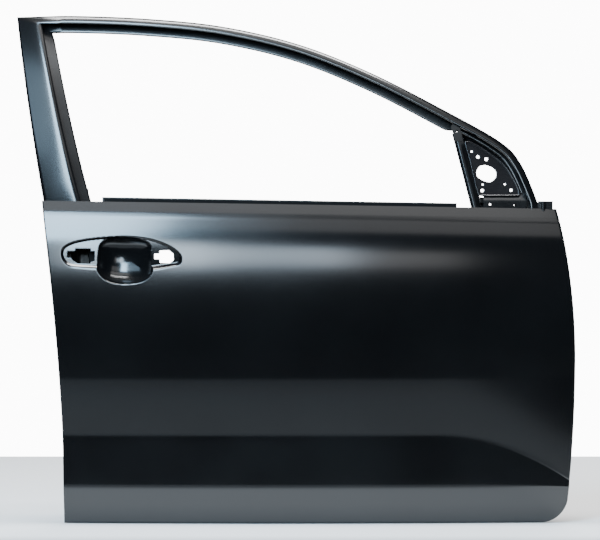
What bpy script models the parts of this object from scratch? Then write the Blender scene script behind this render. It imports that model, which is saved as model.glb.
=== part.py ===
"""Front door shell of a car: skin, inner panel, window frame, reinforcements.

Drawing frame: x runs forward along the car, y runs inward from the outermost
point of the skin, z runs up from the lowest edge.  The hinge faces lie in the
plane x = 0.  An empty then carries everything so that the origin of the part
is the centre of the upper hinge face.
"""
import math

import bmesh
import bpy
from mathutils import Vector

# Hinge faces (metres, as every size below)
HINGE_FACE_Y = 0.070
UPPER_HINGE_Z = 0.485
LOWER_HINGE_Y = 0.074
LOWER_HINGE_Z = 0.135
HINGE_BOLT_PITCH = 0.044
HINGE_BOLT_HOLE = 0.011
PAD_LIFT = 0.0004
PAD_MARGIN = 0.012
CHECK_STRAP_Z = 0.300
WIRING_HOLE_Z = 0.392
WIRING_HOLE = 0.038

# Sheets
SKIN_GAUGE = 0.0008
INNER_GAUGE = 0.0008
FRAME_GAUGE = 0.0010
REINFORCEMENT_GAUGE = 0.0012
HINGE_PLATE_GAUGE = 0.0022
CHANNEL_GAUGE = 0.0009
FIT = 0.0004

# Skin: plan bow, belt line and side section
BOW_CENTRE = -0.600
BOW_RADIUS = 8.0
BELT_REAR_X = -1.075
BELT_CREASE = 0.655
BELT_TOP = BELT_CREASE + 0.022
BELT_DROP = 0.017
BELT_BLEND_SHARE = 0.2693
BELT_STEP = 0.005
FLARE_Z = 0.075
VALLEY_Z = 0.183
CHARACTER_Z = 0.306
VALLEY_DROP = 0.100
VALLEY_DROP_START = -0.250
BOTTOM_DEPTH = 0.042
FLARE_DEPTH = 0.026
VALLEY_DEPTH = 0.031
CHARACTER_DEPTH = 0.0125

# Shoulder: (share of the way from the character line up to the belt, depth)
SHOULDER = ((0.0, CHARACTER_DEPTH), (0.2693, 0.0030), (0.4986, 0.0), (0.6848, 0.0022),
            (0.8424, 0.0090), (0.9570, 0.0200), (1.0, 0.0265))
HEM_WIDTH = 0.011
HEM_LAP = 0.0016

# Skin: ends
REAR_X = -1.032
REAR_SWEEP = 0.047
FRONT_X = 0.040
FRONT_WIDEST_Z = 0.330
FRONT_CURVE_ABOVE = 0.34
FRONT_CURVE_BELOW = 0.175
CORNER_R = 0.057


def above_belt(points):
    """Points of the window frame are given as (x, height above the belt crease, ...)."""
    return [(p[0], BELT_CREASE + p[1], *p[2:]) for p in points]


# Glass plane and window frame
GLASS_BELT_Y = 0.060
GLASS_BELT_Z = BELT_CREASE + 0.018
GLASS_LEAN = 0.14
GLASS_RADIUS = 1.30
FACE_OUT = 0.016
FRAME_DEPTH = 0.036
LIP_IN = 0.024
PILLAR_FOOT = (-1.0755, BELT_CREASE + 0.009)
PILLAR_HEAD = (-1.1482, BELT_CREASE + 0.423)
PILLAR_BULGE = 0.0018
PILLAR_FACE_FOOT = 0.082
PILLAR_FACE_HEAD = 0.052
HEADER_FACE = 0.0175
LIP_OVERLAP = 0.019
HEADER_LINE = above_belt(((-1.1482, 0.4230), (-1.0200, 0.4247), (-0.8590, 0.4172),
                          (-0.7000, 0.3993), (-0.5370, 0.3593), (-0.3800, 0.2950),
                          (-0.2185, 0.2105), (-0.1130, 0.1495), (-0.0710, 0.1050),
                          (-0.0385, 0.0300), (-0.0335, 0.0030)))

# Division bar
BAR_TOP = (-0.2135, BELT_CREASE + 0.1675)
BAR_FOOT_Z = 0.400
BAR_RAKE = -0.243
BAR_WIDTH = 0.020
BAR_HALF_DEPTH = 0.0095

# Exterior handle recess
HANDLE_SETBACK = 0.123
HANDLE_X = REAR_X + HANDLE_SETBACK
HANDLE_SILL_Z = BELT_CREASE - 0.122
WING_DEPTH = 0.0085
CUP_DEPTH = 0.036
POCKET_RIM = 0.0026

# Inner panel
INNER_Y = 0.106
FRONT_WALL_BACK = 0.0255
REAR_LEDGE_Y = 0.078
BOTTOM_LEDGE_Y = 0.086
FRONT_LEDGE_Y = 0.093
INNER_TOP = BELT_CREASE - 0.021
BELT_FLANGE_Y = 0.0865
BELT_FLANGE_TOP_REAR = BELT_CREASE + 0.031
BELT_FLANGE_TOP_FRONT = BELT_CREASE + 0.018
BELT_FLANGE_X = (-0.955, -0.205)

# Impact beam
BEAM_RADIUS = 0.0155
BEAM_WALL = 0.0024
BEAM_FRONT = (-0.052, 0.352)
BEAM_REAR = (-0.990, 0.262)
BEAM_STANDOFF = 0.0055

CORNER_STEPS = 4


def clear_scene():
    for ob in list(bpy.data.objects):
        bpy.data.objects.remove(ob, do_unlink=True)
    for coll in list(bpy.data.collections):
        bpy.data.collections.remove(coll)


clear_scene()
parts = bpy.data.collections.new("car_door_shell")
cutters = bpy.data.collections.new("cutters")
bpy.context.scene.collection.children.link(parts)
bpy.context.scene.collection.children.link(cutters)

# The empty that carries the door: its place makes the hinge face the origin
door_frame = bpy.data.objects.new("door_frame", None)
door_frame.location = (0.0, -HINGE_FACE_Y, -UPPER_HINGE_Z)
parts.objects.link(door_frame)


# Small maths
def lerp(a, b, t):
    return a + (b - a) * t


def clamp(t, low=0.0, high=1.0):
    return max(low, min(high, t))


def smooth(t):
    t = clamp(t)
    return t * t * (3.0 - 2.0 * t)


def through(points, value):
    """Smooth height through (position, height) pairs, Catmull-Rom slopes."""
    last = len(points) - 1
    value = clamp(value, points[0][0], points[last][0])
    i = 0
    while i < last - 1 and value > points[i + 1][0]:
        i += 1

    def slope(k):
        a = points[max(k - 1, 0)]
        b = points[min(k + 1, last)]
        return (b[1] - a[1]) / (b[0] - a[0])

    p, q = points[i], points[i + 1]
    span = q[0] - p[0]
    t = (value - p[0]) / span
    h00 = (1 + 2 * t) * (1 - t) ** 2
    h10 = t * (1 - t) ** 2
    h01 = t * t * (3 - 2 * t)
    h11 = t * t * (t - 1)
    return h00 * p[1] + h10 * span * slope(i) + h01 * q[1] + h11 * span * slope(i + 1)


def spline(points, t):
    """Catmull-Rom curve through (x, z) points, t from 0 to 1."""
    last = len(points) - 1
    f = clamp(t) * last
    i = min(int(f), last - 1)
    f -= i
    p1 = Vector(points[i])
    p2 = Vector(points[i + 1])
    p0 = Vector(points[i - 1]) if i > 0 else 2 * p1 - p2
    p3 = Vector(points[i + 2]) if i + 2 <= last else 2 * p2 - p1
    return 0.5 * (2 * p1 + (p2 - p0) * f + (2 * p0 - 5 * p1 + 4 * p2 - p3) * f * f
                  + (3 * p1 - p0 - 3 * p2 + p3) * f ** 3)


# The skin surface
def bow(x):
    return (x - BOW_CENTRE) ** 2 / (2.0 * BOW_RADIUS)


def valley_reach(x):
    """How far the valley has run down into the flare line: 0 behind, 1 at the front."""
    return clamp((x - VALLEY_DROP_START) / (FRONT_X - VALLEY_DROP_START)) ** 2.1


def belt_share(s):
    return (s - CHARACTER_Z) / (BELT_CREASE - CHARACTER_Z)


def section(s, x):
    """Depth of the side section at nominal height s; the valley fades forward."""
    valley = lerp(VALLEY_DEPTH, FLARE_DEPTH + 0.0003, valley_reach(x))
    if s < FLARE_Z:
        return lerp(BOTTOM_DEPTH, FLARE_DEPTH, max(s, 0.0) / FLARE_Z)
    if s < VALLEY_Z:
        return lerp(FLARE_DEPTH, valley, (s - FLARE_Z) / (VALLEY_Z - FLARE_Z))
    if s < CHARACTER_Z:
        return lerp(valley, CHARACTER_DEPTH, (s - VALLEY_Z) / (CHARACTER_Z - VALLEY_Z))
    if s < BELT_CREASE:
        return through(SHOULDER, belt_share(s))
    edge = SHOULDER[-1][1]
    if s < BELT_CREASE + BELT_STEP:
        return edge + (s - BELT_CREASE)
    return edge + BELT_STEP + GLASS_LEAN * (s - BELT_CREASE - BELT_STEP)


def row_height(s, x):
    """Height of nominal row s at x: the belt falls forward, so does the valley."""
    forward = (x - BELT_REAR_X) / -BELT_REAR_X
    rise = clamp((belt_share(s) - BELT_BLEND_SHARE) / (1.0 - BELT_BLEND_SHARE))
    z = s - BELT_DROP * forward * rise * rise
    if FLARE_Z < s < CHARACTER_Z and x > VALLEY_DROP_START:
        if s < VALLEY_Z:
            share = (s - FLARE_Z) / (VALLEY_Z - FLARE_Z)
        else:
            share = (CHARACTER_Z - s) / (CHARACTER_Z - VALLEY_Z)
        z -= VALLEY_DROP * valley_reach(x) * share
    return z


def row_at(x, z):
    s = z
    for _ in range(24):
        s += 0.8 * (z - row_height(s, x))
    return s


def skin_y(x, z):
    return section(row_at(x, z), x) + bow(x)


def belt_crease_z(x):
    return row_height(BELT_CREASE, x)


def glass_y(x, z):
    h = z - GLASS_BELT_Z + BELT_DROP * (x - BELT_REAR_X) / -BELT_REAR_X
    return GLASS_BELT_Y + GLASS_LEAN * h + h * h / (2.0 * GLASS_RADIUS) + bow(x)


def rear_x(z):
    return REAR_X - REAR_SWEEP * (max(z, 0.0) / 0.676) ** 2.2


def front_side(z):
    curve = FRONT_CURVE_ABOVE if z > FRONT_WIDEST_Z else FRONT_CURVE_BELOW
    return FRONT_X - curve * (z - FRONT_WIDEST_Z) ** 2


CORNER_X = front_side(CORNER_R) - CORNER_R


def front_x(z):
    if z >= CORNER_R:
        return front_side(z)
    return CORNER_X + math.sqrt(max(CORNER_R ** 2 - (CORNER_R - z) ** 2, 0.0))


def rear_edge(s, inset=0.0):
    """Point (x, z) on the rear edge at row s, moved inward by inset."""
    x = rear_x(s)
    z = row_height(s, x)
    if z < CORNER_R:
        z += inset * (1.0 - z / CORNER_R)
    return rear_x(z if inset == 0.0 else row_height(s, x)) + inset, z


def front_edge(s, inset=0.0):
    x = front_x(s)
    z = row_height(s, x)
    x = front_x(z)
    if z < CORNER_R - 1e-6:
        radius = CORNER_R - inset
        across = (x - CORNER_X) / CORNER_R
        down = (CORNER_R - z) / CORNER_R
        return CORNER_X + radius * across, CORNER_R - radius * down
    return x - inset, row_height(s, x - inset)


def bottom_edge(u, inset=0.0):
    start = rear_x(0.0)
    x = lerp(start, CORNER_X, u)
    x += inset * max(0.0, 1.0 - (x - start) / CORNER_R)
    return x, inset


# Rows and columns that the skin and the hem flange of the inner panel share
corner_rows = [CORNER_R * (1.0 - math.cos(math.radians(90.0 * i / CORNER_STEPS)))
               for i in range(CORNER_STEPS + 1)]
LOWER_ROWS = corner_rows + [FLARE_Z, 0.111, 0.147, VALLEY_Z, 0.224, 0.265, CHARACTER_Z]
UPPER_SHARES = (0.089, 0.178, 0.2693, 0.384, 0.4986, 0.585, 0.6705, 0.7364, 0.7937, 0.8453, 0.894)
UPPER_ROWS = [lerp(CHARACTER_Z, BELT_CREASE, share) for share in UPPER_SHARES] + [INNER_TOP]
BELT_ROWS = [BELT_CREASE - 0.009, BELT_CREASE, BELT_CREASE + BELT_STEP, BELT_CREASE + 0.013, BELT_TOP]
SKIN_ROWS = LOWER_ROWS + UPPER_ROWS + BELT_ROWS
INNER_ROWS = LOWER_ROWS + UPPER_ROWS
END_COLUMNS = [0.0, 0.014, 0.034, 0.060, 0.100]
MIDDLE = 15
COLUMNS = (END_COLUMNS
           + [lerp(0.100, 0.900, i / MIDDLE) for i in range(1, MIDDLE)]
           + [1.0 - u for u in reversed(END_COLUMNS)])


# Materials and objects
def coating(name, colour, roughness, metallic=0.0):
    mat = bpy.data.materials.new(name)
    mat.use_nodes = True
    shader = mat.node_tree.nodes["Principled BSDF"]
    shader.inputs["Base Color"].default_value = (*colour, 1.0)
    shader.inputs["Roughness"].default_value = roughness
    shader.inputs["Metallic"].default_value = metallic
    return mat


BLACK_ECOAT = (0.010, 0.010, 0.011)
DARK_ECOAT = (0.014, 0.014, 0.015)
SEALER = (0.022, 0.022, 0.023)


def add_object(name, mesh, collection, material=None):
    ob = bpy.data.objects.new(name, mesh)
    ob.parent = door_frame
    collection.objects.link(ob)
    if material is not None:
        mesh.materials.append(material)
    return ob


def ecoat_part(name, bm, colour=BLACK_ECOAT, roughness=0.30):
    mesh = bpy.data.meshes.new(name)
    bmesh.ops.recalc_face_normals(bm, faces=bm.faces)
    bm.to_mesh(mesh)
    bm.free()
    return add_object(name, mesh, parts, coating(name + "_coat", colour, roughness))


def thicken(ob, gauge, offset=0.0):
    solid = ob.modifiers.new("gauge", "SOLIDIFY")
    solid.thickness = gauge
    solid.offset = offset
    solid.use_even_offset = True
    solid.use_quality_normals = True
    return solid


def soften(ob, angle=32.0):
    mesh = ob.data
    mesh.shade_smooth()
    mesh.set_sharp_from_angle(angle=math.radians(angle))


def grid_bmesh(rows, columns, place):
    """A grid primitive whose vertex (row, column) is put at place(row, column)."""
    bm = bmesh.new()
    bmesh.ops.create_grid(bm, x_segments=columns - 1, y_segments=rows - 1, size=0.5)
    table = {}
    for v in bm.verts:
        c = round((v.co.x + 0.5) * (columns - 1))
        r = round((v.co.y + 0.5) * (rows - 1))
        table[(r, c)] = v
    for (r, c), v in table.items():
        v.co = Vector(place(r, c))
    return bm, table


def sheet(name, rows, columns, place, gauge, offset=0.0, colour=BLACK_ECOAT, roughness=0.30):
    bm, _ = grid_bmesh(rows, columns, place)
    ob = ecoat_part(name, bm, colour, roughness)
    thicken(ob, gauge, offset)
    soften(ob)
    return ob


def cutter(name, bm):
    mesh = bpy.data.meshes.new(name)
    bmesh.ops.recalc_face_normals(bm, faces=bm.faces)
    bm.to_mesh(mesh)
    bm.free()
    ob = add_object(name, mesh, cutters)
    ob.hide_render = True
    ob.display_type = "WIRE"
    return ob


def loft(rings, closed_ends=True):
    """Closed loft between rings of equal point count (a capped cylinder, remapped)."""
    count = len(rings[0])
    bm = bmesh.new()
    bmesh.ops.create_circle(bm, cap_ends=closed_ends, segments=count, radius=1.0)
    bm.verts.ensure_lookup_table()
    start = sorted(bm.verts, key=lambda v: math.atan2(v.co.y, v.co.x) % (2 * math.pi))
    for v, co in zip(start, rings[0]):
        v.co = Vector(co)
    loop = start
    for ring in rings[1:]:
        edges = []
        for a, b in zip(loop, loop[1:] + loop[:1]):
            edges.append(bm.edges.get((a, b)))
        made = bmesh.ops.extrude_edge_only(bm, edges=edges)
        new_verts = [g for g in made["geom"] if isinstance(g, bmesh.types.BMVert)]
        partner = {}
        fresh = set(new_verts)
        for v in new_verts:
            for e in v.link_edges:
                other = e.other_vert(v)
                if other not in fresh:
                    partner[other] = v
        loop = [partner[v] for v in loop]
        for v, co in zip(loop, ring):
            v.co = Vector(co)
    if closed_ends:
        bmesh.ops.contextual_create(bm, geom=loop)
    return bm


def prism(name, outline, y0, y1):
    """Cutter through the door: an (x, z) outline from depth y0 to depth y1."""
    return cutter(name, loft([[(x, y0, z) for x, z in outline], [(x, y1, z) for x, z in outline]]))


def drill(name, centre, axis, radius, length, segments=20):
    """Round cutter along an axis, centred on a point."""
    bm = bmesh.new()
    bmesh.ops.create_cone(bm, cap_ends=True, segments=segments, radius1=radius,
                          radius2=radius, depth=length)
    turn = Vector((0, 0, 1)).rotation_difference(Vector(axis)).to_matrix()
    for v in bm.verts:
        v.co = turn @ v.co + Vector(centre)
    return cutter(name, bm)


def combine(ob, tool, operation="DIFFERENCE"):
    mod = ob.modifiers.new(tool.name, "BOOLEAN")
    mod.operation = operation
    mod.solver = "EXACT"
    mod.object = tool
    return mod


def rounded_box(x0, x1, z0, z1, r, steps=4):
    """Rounded rectangle outline, as arcs at its four corners."""
    points = []
    for cx, cz, start in ((x1 - r, z1 - r, 0), (x0 + r, z1 - r, 90),
                          (x0 + r, z0 + r, 180), (x1 - r, z0 + r, 270)):
        for i in range(steps + 1):
            a = math.radians(start + 90.0 * i / steps)
            points.append((cx + r * math.cos(a), cz + r * math.sin(a)))
    return points


def circle(cx, cz, r, segments=20):
    return [(cx + r * math.cos(2 * math.pi * i / segments),
             cz + r * math.sin(2 * math.pi * i / segments)) for i in range(segments)]


# Outer panel: the skin with its hem folded round the inner panel
def skin_point(r, c):
    s = SKIN_ROWS[r]
    u = COLUMNS[c]
    xr, _ = rear_edge(s)
    xf, _ = front_edge(s)
    x = lerp(xr, xf, u)
    return x, section(s, x) + bow(x) + SKIN_GAUGE / 2, row_height(s, x)


def edge_path(rows):
    """Edge stations in order: down the rear, along the bottom, up the front."""
    path = [("rear", s) for s in reversed(rows)]
    path += [("bottom", u) for u in COLUMNS[1:-1]]
    path += [("front", s) for s in rows]
    return path


EDGE = {"rear": rear_edge, "bottom": bottom_edge, "front": front_edge}


def skin_hem_point(station, inset, lift):
    side, value = station
    x, z = EDGE[side](value, inset)
    if side == "bottom":
        s = z
    else:
        s = value if value > CORNER_R else row_at(x, z)
    return x, section(s, x) + bow(x) + SKIN_GAUGE / 2 + lift, z


bm, table = grid_bmesh(len(SKIN_ROWS), len(COLUMNS), skin_point)
last_c = len(COLUMNS) - 1
loop = ([table[(r, 0)] for r in reversed(range(len(SKIN_ROWS)))]
        + [table[(0, c)] for c in range(1, last_c)]
        + [table[(r, last_c)] for r in range(len(SKIN_ROWS))])
HEM_STACK = 2 * (SKIN_GAUGE + FIT)
hem_steps = ((0.0, HEM_STACK * 0.28), (0.0, HEM_STACK * 0.72), (0.0010, HEM_STACK),
             (HEM_WIDTH, HEM_STACK))
for v, station in zip(loop, edge_path(SKIN_ROWS)):
    v.co = Vector(skin_hem_point(station, 0.0010, 0.0))
for inset, lift in hem_steps:
    edges = [bm.edges.get((a, b)) for a, b in zip(loop, loop[1:])]
    made = bmesh.ops.extrude_edge_only(bm, edges=edges)
    fresh = {g for g in made["geom"] if isinstance(g, bmesh.types.BMVert)}
    partner = {}
    for v in fresh:
        for e in v.link_edges:
            other = e.other_vert(v)
            if other not in fresh:
                partner[other] = v
    loop = [partner[v] for v in loop]
    for v, station in zip(loop, edge_path(SKIN_ROWS)):
        v.co = Vector(skin_hem_point(station, inset, lift))
outer_panel = ecoat_part("outer_panel", bm)
thicken(outer_panel, SKIN_GAUGE)
soften(outer_panel, 24.0)


def at_handle(points):
    """Outlines of the recess are given from the middle of the handle's sill."""
    return [(HANDLE_X + dx, HANDLE_SILL_Z + dz) for dx, dz in points]


# Handle recess: a shallow winged pad with a deep finger cup below its middle
WING_LINE = at_handle(((-0.1250, 0.0330), (-0.1200, 0.0460), (-0.0990, 0.0565), (-0.0555, 0.0642),
                       (0.0070, 0.0680), (0.0590, 0.0630), (0.0973, 0.0496), (0.1200, 0.0330),
                       (0.1248, 0.0190), (0.1200, 0.0095), (0.1040, 0.0055), (0.0640, -0.0015),
                       (0.0070, -0.0050), (-0.0510, 0.0000), (-0.0863, 0.0027), (-0.1073, 0.0062),
                       (-0.1200, 0.0170)))
CUP_LINE = at_handle(((-0.0520, 0.0120), (-0.0470, -0.0060), (-0.0340, -0.0200), (-0.0160, -0.0280),
                      (0.0070, -0.0302), (0.0300, -0.0285), (0.0490, -0.0225), (0.0620, -0.0100),
                      (0.0660, 0.0090), (0.0620, 0.0370), (0.0490, 0.0560), (0.0090, 0.0630),
                      (-0.0330, 0.0600), (-0.0490, 0.0390)))


def closed_spline(points, count):
    n = len(points)
    out = []
    for k in range(count):
        f = k * n / count
        i = int(f)
        f -= i
        p0, p1, p2, p3 = (Vector(points[(i + j - 1) % n]) for j in range(4))
        out.append(0.5 * (2 * p1 + (p2 - p0) * f + (2 * p0 - 5 * p1 + 4 * p2 - p3) * f * f
                          + (3 * p1 - p0 - 3 * p2 + p3) * f ** 3))
    return out


def grow(points, distance):
    """Offset a closed outline outward along its normals."""
    n = len(points)
    area = sum(points[i].x * points[(i + 1) % n].y - points[(i + 1) % n].x * points[i].y
               for i in range(n))
    turn = 1.0 if area > 0 else -1.0
    out = []
    for i in range(n):
        t = (points[(i + 1) % n] - points[i - 1]).normalized()
        out.append(points[i] + Vector((t.y, -t.x)) * distance * turn)
    return out


def wing_share(z):
    return 0.42 + 0.58 * clamp((z - HANDLE_SILL_Z) / 0.060)


def pocket_rings(line, levels, count, share):
    """Rings of a recess: levels are (depth, outward offset, scale) below the skin."""
    base = closed_spline(line, count)
    middle = sum(base, Vector((0.0, 0.0))) / count
    rings = []
    for depth, offset, scale in levels:
        ring = []
        for p in grow(base, offset):
            p = middle + (p - middle) * scale
            d = depth * share(p.y) if depth > 0.0 else depth
            ring.append((p.x, skin_y(p.x, p.y) + d, p.y))
        rings.append(ring)
    return rings


def cup_levels(extra):
    levels = [(-0.0040, 0.0042 + extra, 1.0), (-0.0006 + extra * 0.5, POCKET_RIM + 0.0008 + extra, 1.0),
              (0.0010 + extra, 0.0010 + extra, 1.0), (0.0045 + extra, extra, 1.0)]
    for angle in (35.0, 60.0, 78.0):
        a = math.radians(angle)
        levels.append((CUP_DEPTH * (0.30 + 0.70 * math.sin(a)) + extra, extra,
                       1.0 - 0.36 * (1.0 - math.cos(a))))
    levels.append((CUP_DEPTH + extra, extra, 0.52))
    return levels


def wing_levels(extra):
    return [(-0.0040, 0.0040 + extra, 1.0), (-0.0006 + extra * 0.5, POCKET_RIM + extra, 1.0),
            (0.0012 + extra, 0.0009 + extra, 1.0), (WING_DEPTH - 0.0022 + extra, -0.0010 + extra, 1.0),
            (WING_DEPTH + extra, -0.0040 + extra, 1.0)]


def full(z):
    return 1.0


def plug(levels):
    """The grown recess body, whose outer face stays inside the sheet."""
    return [(SKIN_GAUGE * 0.5, levels[1][1], 1.0)] + [lv for lv in levels if lv[0] > SKIN_GAUGE]


wing_body = cutter("recess_wing_body",
                   loft(pocket_rings(WING_LINE, plug(wing_levels(SKIN_GAUGE)), 44, wing_share)))
cup_body = cutter("recess_cup_body",
                  loft(pocket_rings(CUP_LINE, plug(cup_levels(SKIN_GAUGE)), 36, full)))
wing_tool = cutter("recess_wing", loft(pocket_rings(WING_LINE, wing_levels(0.0), 44, wing_share)))
cup_tool = cutter("recess_cup", loft(pocket_rings(CUP_LINE, cup_levels(0.0), 36, full)))
combine(outer_panel, wing_body, "UNION")
combine(outer_panel, cup_body, "UNION")
combine(outer_panel, wing_tool)
combine(outer_panel, cup_tool)

# Stepped hole for the lock side and D-shaped hole for the pivot side of the handle
LOCK_HOLE = at_handle(((-0.1145, 0.0382), (-0.0979, 0.0382), (-0.0979, 0.0436), (-0.0644, 0.0436),
                       (-0.0644, 0.0382), (-0.0560, 0.0382), (-0.0560, 0.0173), (-0.0644, 0.0150),
                       (-0.0655, 0.0117), (-0.0913, 0.0117), (-0.1030, 0.0190), (-0.1060, 0.0236),
                       (-0.1145, 0.0236)))
PIVOT_HOLE = at_handle(((0.0685, 0.0325), (0.0791, 0.0325), (0.0800, 0.0392), (0.0990, 0.0396),
                        (0.1084, 0.0319), (0.1089, 0.0194), (0.1012, 0.0131), (0.0800, 0.0135),
                        (0.0791, 0.0214), (0.0685, 0.0214)))
lock_cut = prism("lock_hole", LOCK_HOLE, 0.012, 0.045)
pivot_cut = prism("pivot_hole", PIVOT_HOLE, 0.004, 0.045)
combine(outer_panel, lock_cut)
combine(outer_panel, pivot_cut)


# Inner panel: main face, radiused walls, sealing ledge, hem flange
def wall_x(z):
    return min(0.0, front_side(max(z, CORNER_R)) - FRONT_WALL_BACK) - PAD_LIFT - INNER_GAUGE / 2


def lifted(z, c):
    return z + c * max(0.0, 1.0 - z / 0.120)


def inner_ring_point(station, a, b, c, radius):
    side, value = station
    if side == "rear":
        x0, z0 = rear_edge(value)
        x, z = x0 + a, lifted(z0, c)
    elif side == "front":
        x0, z0 = front_edge(value)
        z = lifted(row_height(value, 0.0), c)
        x = wall_x(z) - b
    else:
        x, z = lerp(rear_x(0.0) + a, wall_x(c) - b, value), c
    return round_corner(x, z, rear_x(0.0) + a, wall_x(c) - b, c, radius)


def round_corner(x, z, x_rear, x_front, z_low, r):
    """Move points near the two lower corners onto arcs of radius r."""
    for corner, sign in ((x_rear, 1.0), (x_front, -1.0)):
        along_x = (x - corner) * sign
        along_z = z - z_low
        if along_x < r and along_z < r:
            if along_x <= along_z + 1e-9:
                angle = math.radians(45.0 * (1.0 - along_z / r))
            else:
                angle = math.radians(90.0 - 45.0 * (1.0 - along_x / r))
            cx = corner + sign * r
            cz = z_low + r
            return cx - sign * r * math.cos(angle), cz - r * math.sin(angle)
    return x, z


def side_depth(station, rear, bottom, front):
    """Depth of a ring: each side has its own, blended round the corners."""
    side, value = station
    if side == "rear":
        return lerp(bottom, rear, smooth(value / 0.12)) if value < 0.12 else rear
    if side == "front":
        return lerp(bottom, front, smooth(value / 0.12)) if value < 0.12 else front
    return bottom


def flange_point(station, inset):
    side, value = station
    x, z = EDGE[side](value, inset)
    return x, z


inner_path = edge_path(INNER_ROWS)
RINGS = (
    # rear inset, front inset, height above the bottom, corner radius, depths
    (0.058, 0.026, 0.060, 0.046, INNER_Y, INNER_Y, INNER_Y),
    (0.053, 0.022, 0.055, 0.044, INNER_Y - 0.0035, INNER_Y - 0.0035, INNER_Y - 0.0035),
    (0.045, 0.016, 0.046, 0.040, REAR_LEDGE_Y + 0.002, BOTTOM_LEDGE_Y + 0.002, FRONT_LEDGE_Y + 0.002),
    (0.025, 0.003, 0.024, 0.040, REAR_LEDGE_Y, BOTTOM_LEDGE_Y, FRONT_LEDGE_Y),
    (0.0205, 0.000, 0.0195, 0.040, REAR_LEDGE_Y - 0.0035, BOTTOM_LEDGE_Y - 0.003, FRONT_LEDGE_Y - 0.004),
)

first = RINGS[0]
top_xs = (-0.150, BELT_FLANGE_X[1], BELT_FLANGE_X[0])


def ring_positions(ring):
    a, b, c, r, rear, bottom, front = ring
    out = []
    for station in inner_path:
        x, z = inner_ring_point(station, a, b, c, r)
        out.append((x, side_depth(station, rear, bottom, front), z))
    return out


main_loop = ring_positions(first) + [(x, INNER_Y, row_height(INNER_TOP, x)) for x in top_xs]
bm = bmesh.new()
bmesh.ops.create_circle(bm, cap_ends=True, segments=len(main_loop), radius=1.0)
ordered = sorted(bm.verts, key=lambda v: math.atan2(v.co.y, v.co.x) % (2 * math.pi))
for v, co in zip(ordered, main_loop):
    v.co = Vector(co)


def extrude_path(bm, path_verts, positions):
    edges = [bm.edges.get((a, b)) for a, b in zip(path_verts, path_verts[1:])]
    made = bmesh.ops.extrude_edge_only(bm, edges=edges)
    fresh = {g for g in made["geom"] if isinstance(g, bmesh.types.BMVert)}
    partner = {}
    for v in fresh:
        for e in v.link_edges:
            other = e.other_vert(v)
            if other not in fresh:
                partner[other] = v
    moved = [partner[v] for v in path_verts]
    for v, co in zip(moved, positions):
        v.co = Vector(co)
    return moved


FLANGE_LIFT = SKIN_GAUGE + FIT + INNER_GAUGE / 2


def hem_flange(lap):
    out = []
    for station in inner_path:
        side, value = station
        if lap:
            x, z = EDGE[side](value, HEM_LAP + SKIN_GAUGE / 2)
        elif side == "front":
            z = row_height(value, 0.0)
            if z < CORNER_R:
                z += 0.0150 * (1.0 - z / CORNER_R)
            x, z = round_corner(wall_x(z), z, -9.0, wall_x(0.0), 0.0150, 0.045)
        elif side == "bottom":
            x = lerp(rear_x(0.0) + 0.0150, wall_x(0.0), value)
            x, z = round_corner(x, 0.0150, rear_x(0.0) + 0.0150, wall_x(0.0), 0.0150, 0.045)
        else:
            x, z = EDGE[side](value, 0.0150)
            x, z = round_corner(x, z, rear_x(0.0) + 0.0150, 9.0, 0.0150, 0.020)
        s = value if side != "bottom" and value > CORNER_R else row_at(x, z)
        out.append((x, section(s, x) + bow(x) + FLANGE_LIFT, z))
    return out


side_loop = ordered[:len(inner_path)]
for ring in RINGS[1:]:
    side_loop = extrude_path(bm, side_loop, ring_positions(ring))
side_loop = extrude_path(bm, side_loop, hem_flange(False))
side_loop = extrude_path(bm, side_loop, hem_flange(True))

belt_verts = ordered[len(inner_path) + 1:]
belt_steps = ((0.012, INNER_Y - 0.002), (0.022, BELT_FLANGE_Y + 0.002), (0.026, BELT_FLANGE_Y))
for rise, y in belt_steps:
    targets = [(v.co.x, y, row_height(INNER_TOP, v.co.x) + rise) for v in belt_verts]
    belt_verts = extrude_path(bm, belt_verts, targets)
targets = [(belt_verts[0].co.x, BELT_FLANGE_Y, BELT_FLANGE_TOP_FRONT),
           (belt_verts[1].co.x, BELT_FLANGE_Y, BELT_FLANGE_TOP_REAR)]
belt_verts = extrude_path(bm, belt_verts, targets)
inner_panel = ecoat_part("inner_panel", bm)
thicken(inner_panel, INNER_GAUGE)
soften(inner_panel, 24.0)

# Openings of the inner panel
SERVICE_OPENING = (-0.860, -0.500, 0.335, INNER_TOP - 0.036, 0.045)
GLASS_OPENING = (-0.455, -0.150, 0.345, INNER_TOP - 0.049, 0.045)
SPEAKER = (-0.215, 0.195, 0.080)
for label, outline in (("service_opening", rounded_box(*SERVICE_OPENING)),
                       ("glass_opening", rounded_box(*GLASS_OPENING)),
                       ("speaker_opening", circle(*SPEAKER, 36)),
                       ("rear_access", rounded_box(-0.975, -0.905, 0.130, 0.235, 0.018, 3)),
                       ("mid_access", rounded_box(-0.640, -0.500, 0.120, 0.215, 0.025, 3)),
                       ("cable_slot", rounded_box(-0.960, -0.905, 0.395, 0.425, 0.014, 3))):
    combine(inner_panel, prism(label, outline, INNER_Y - 0.010, INNER_Y + 0.010))
CLIP_HOLES = ((-0.985, 0.300), (-0.985, INNER_TOP - 0.049), (-0.880, 0.085), (-0.700, 0.085),
              (-0.450, 0.085), (-0.330, 0.085), (-0.090, 0.085), (-0.070, 0.330),
              (-0.075, INNER_TOP - 0.044), (-0.478, INNER_TOP - 0.024), (-0.478, 0.320))
for i, (x, z) in enumerate(CLIP_HOLES):
    combine(inner_panel, prism("clip_hole_%02d" % i, circle(x, z, 0.0042, 10),
                               INNER_Y - 0.010, INNER_Y + 0.010))
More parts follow.
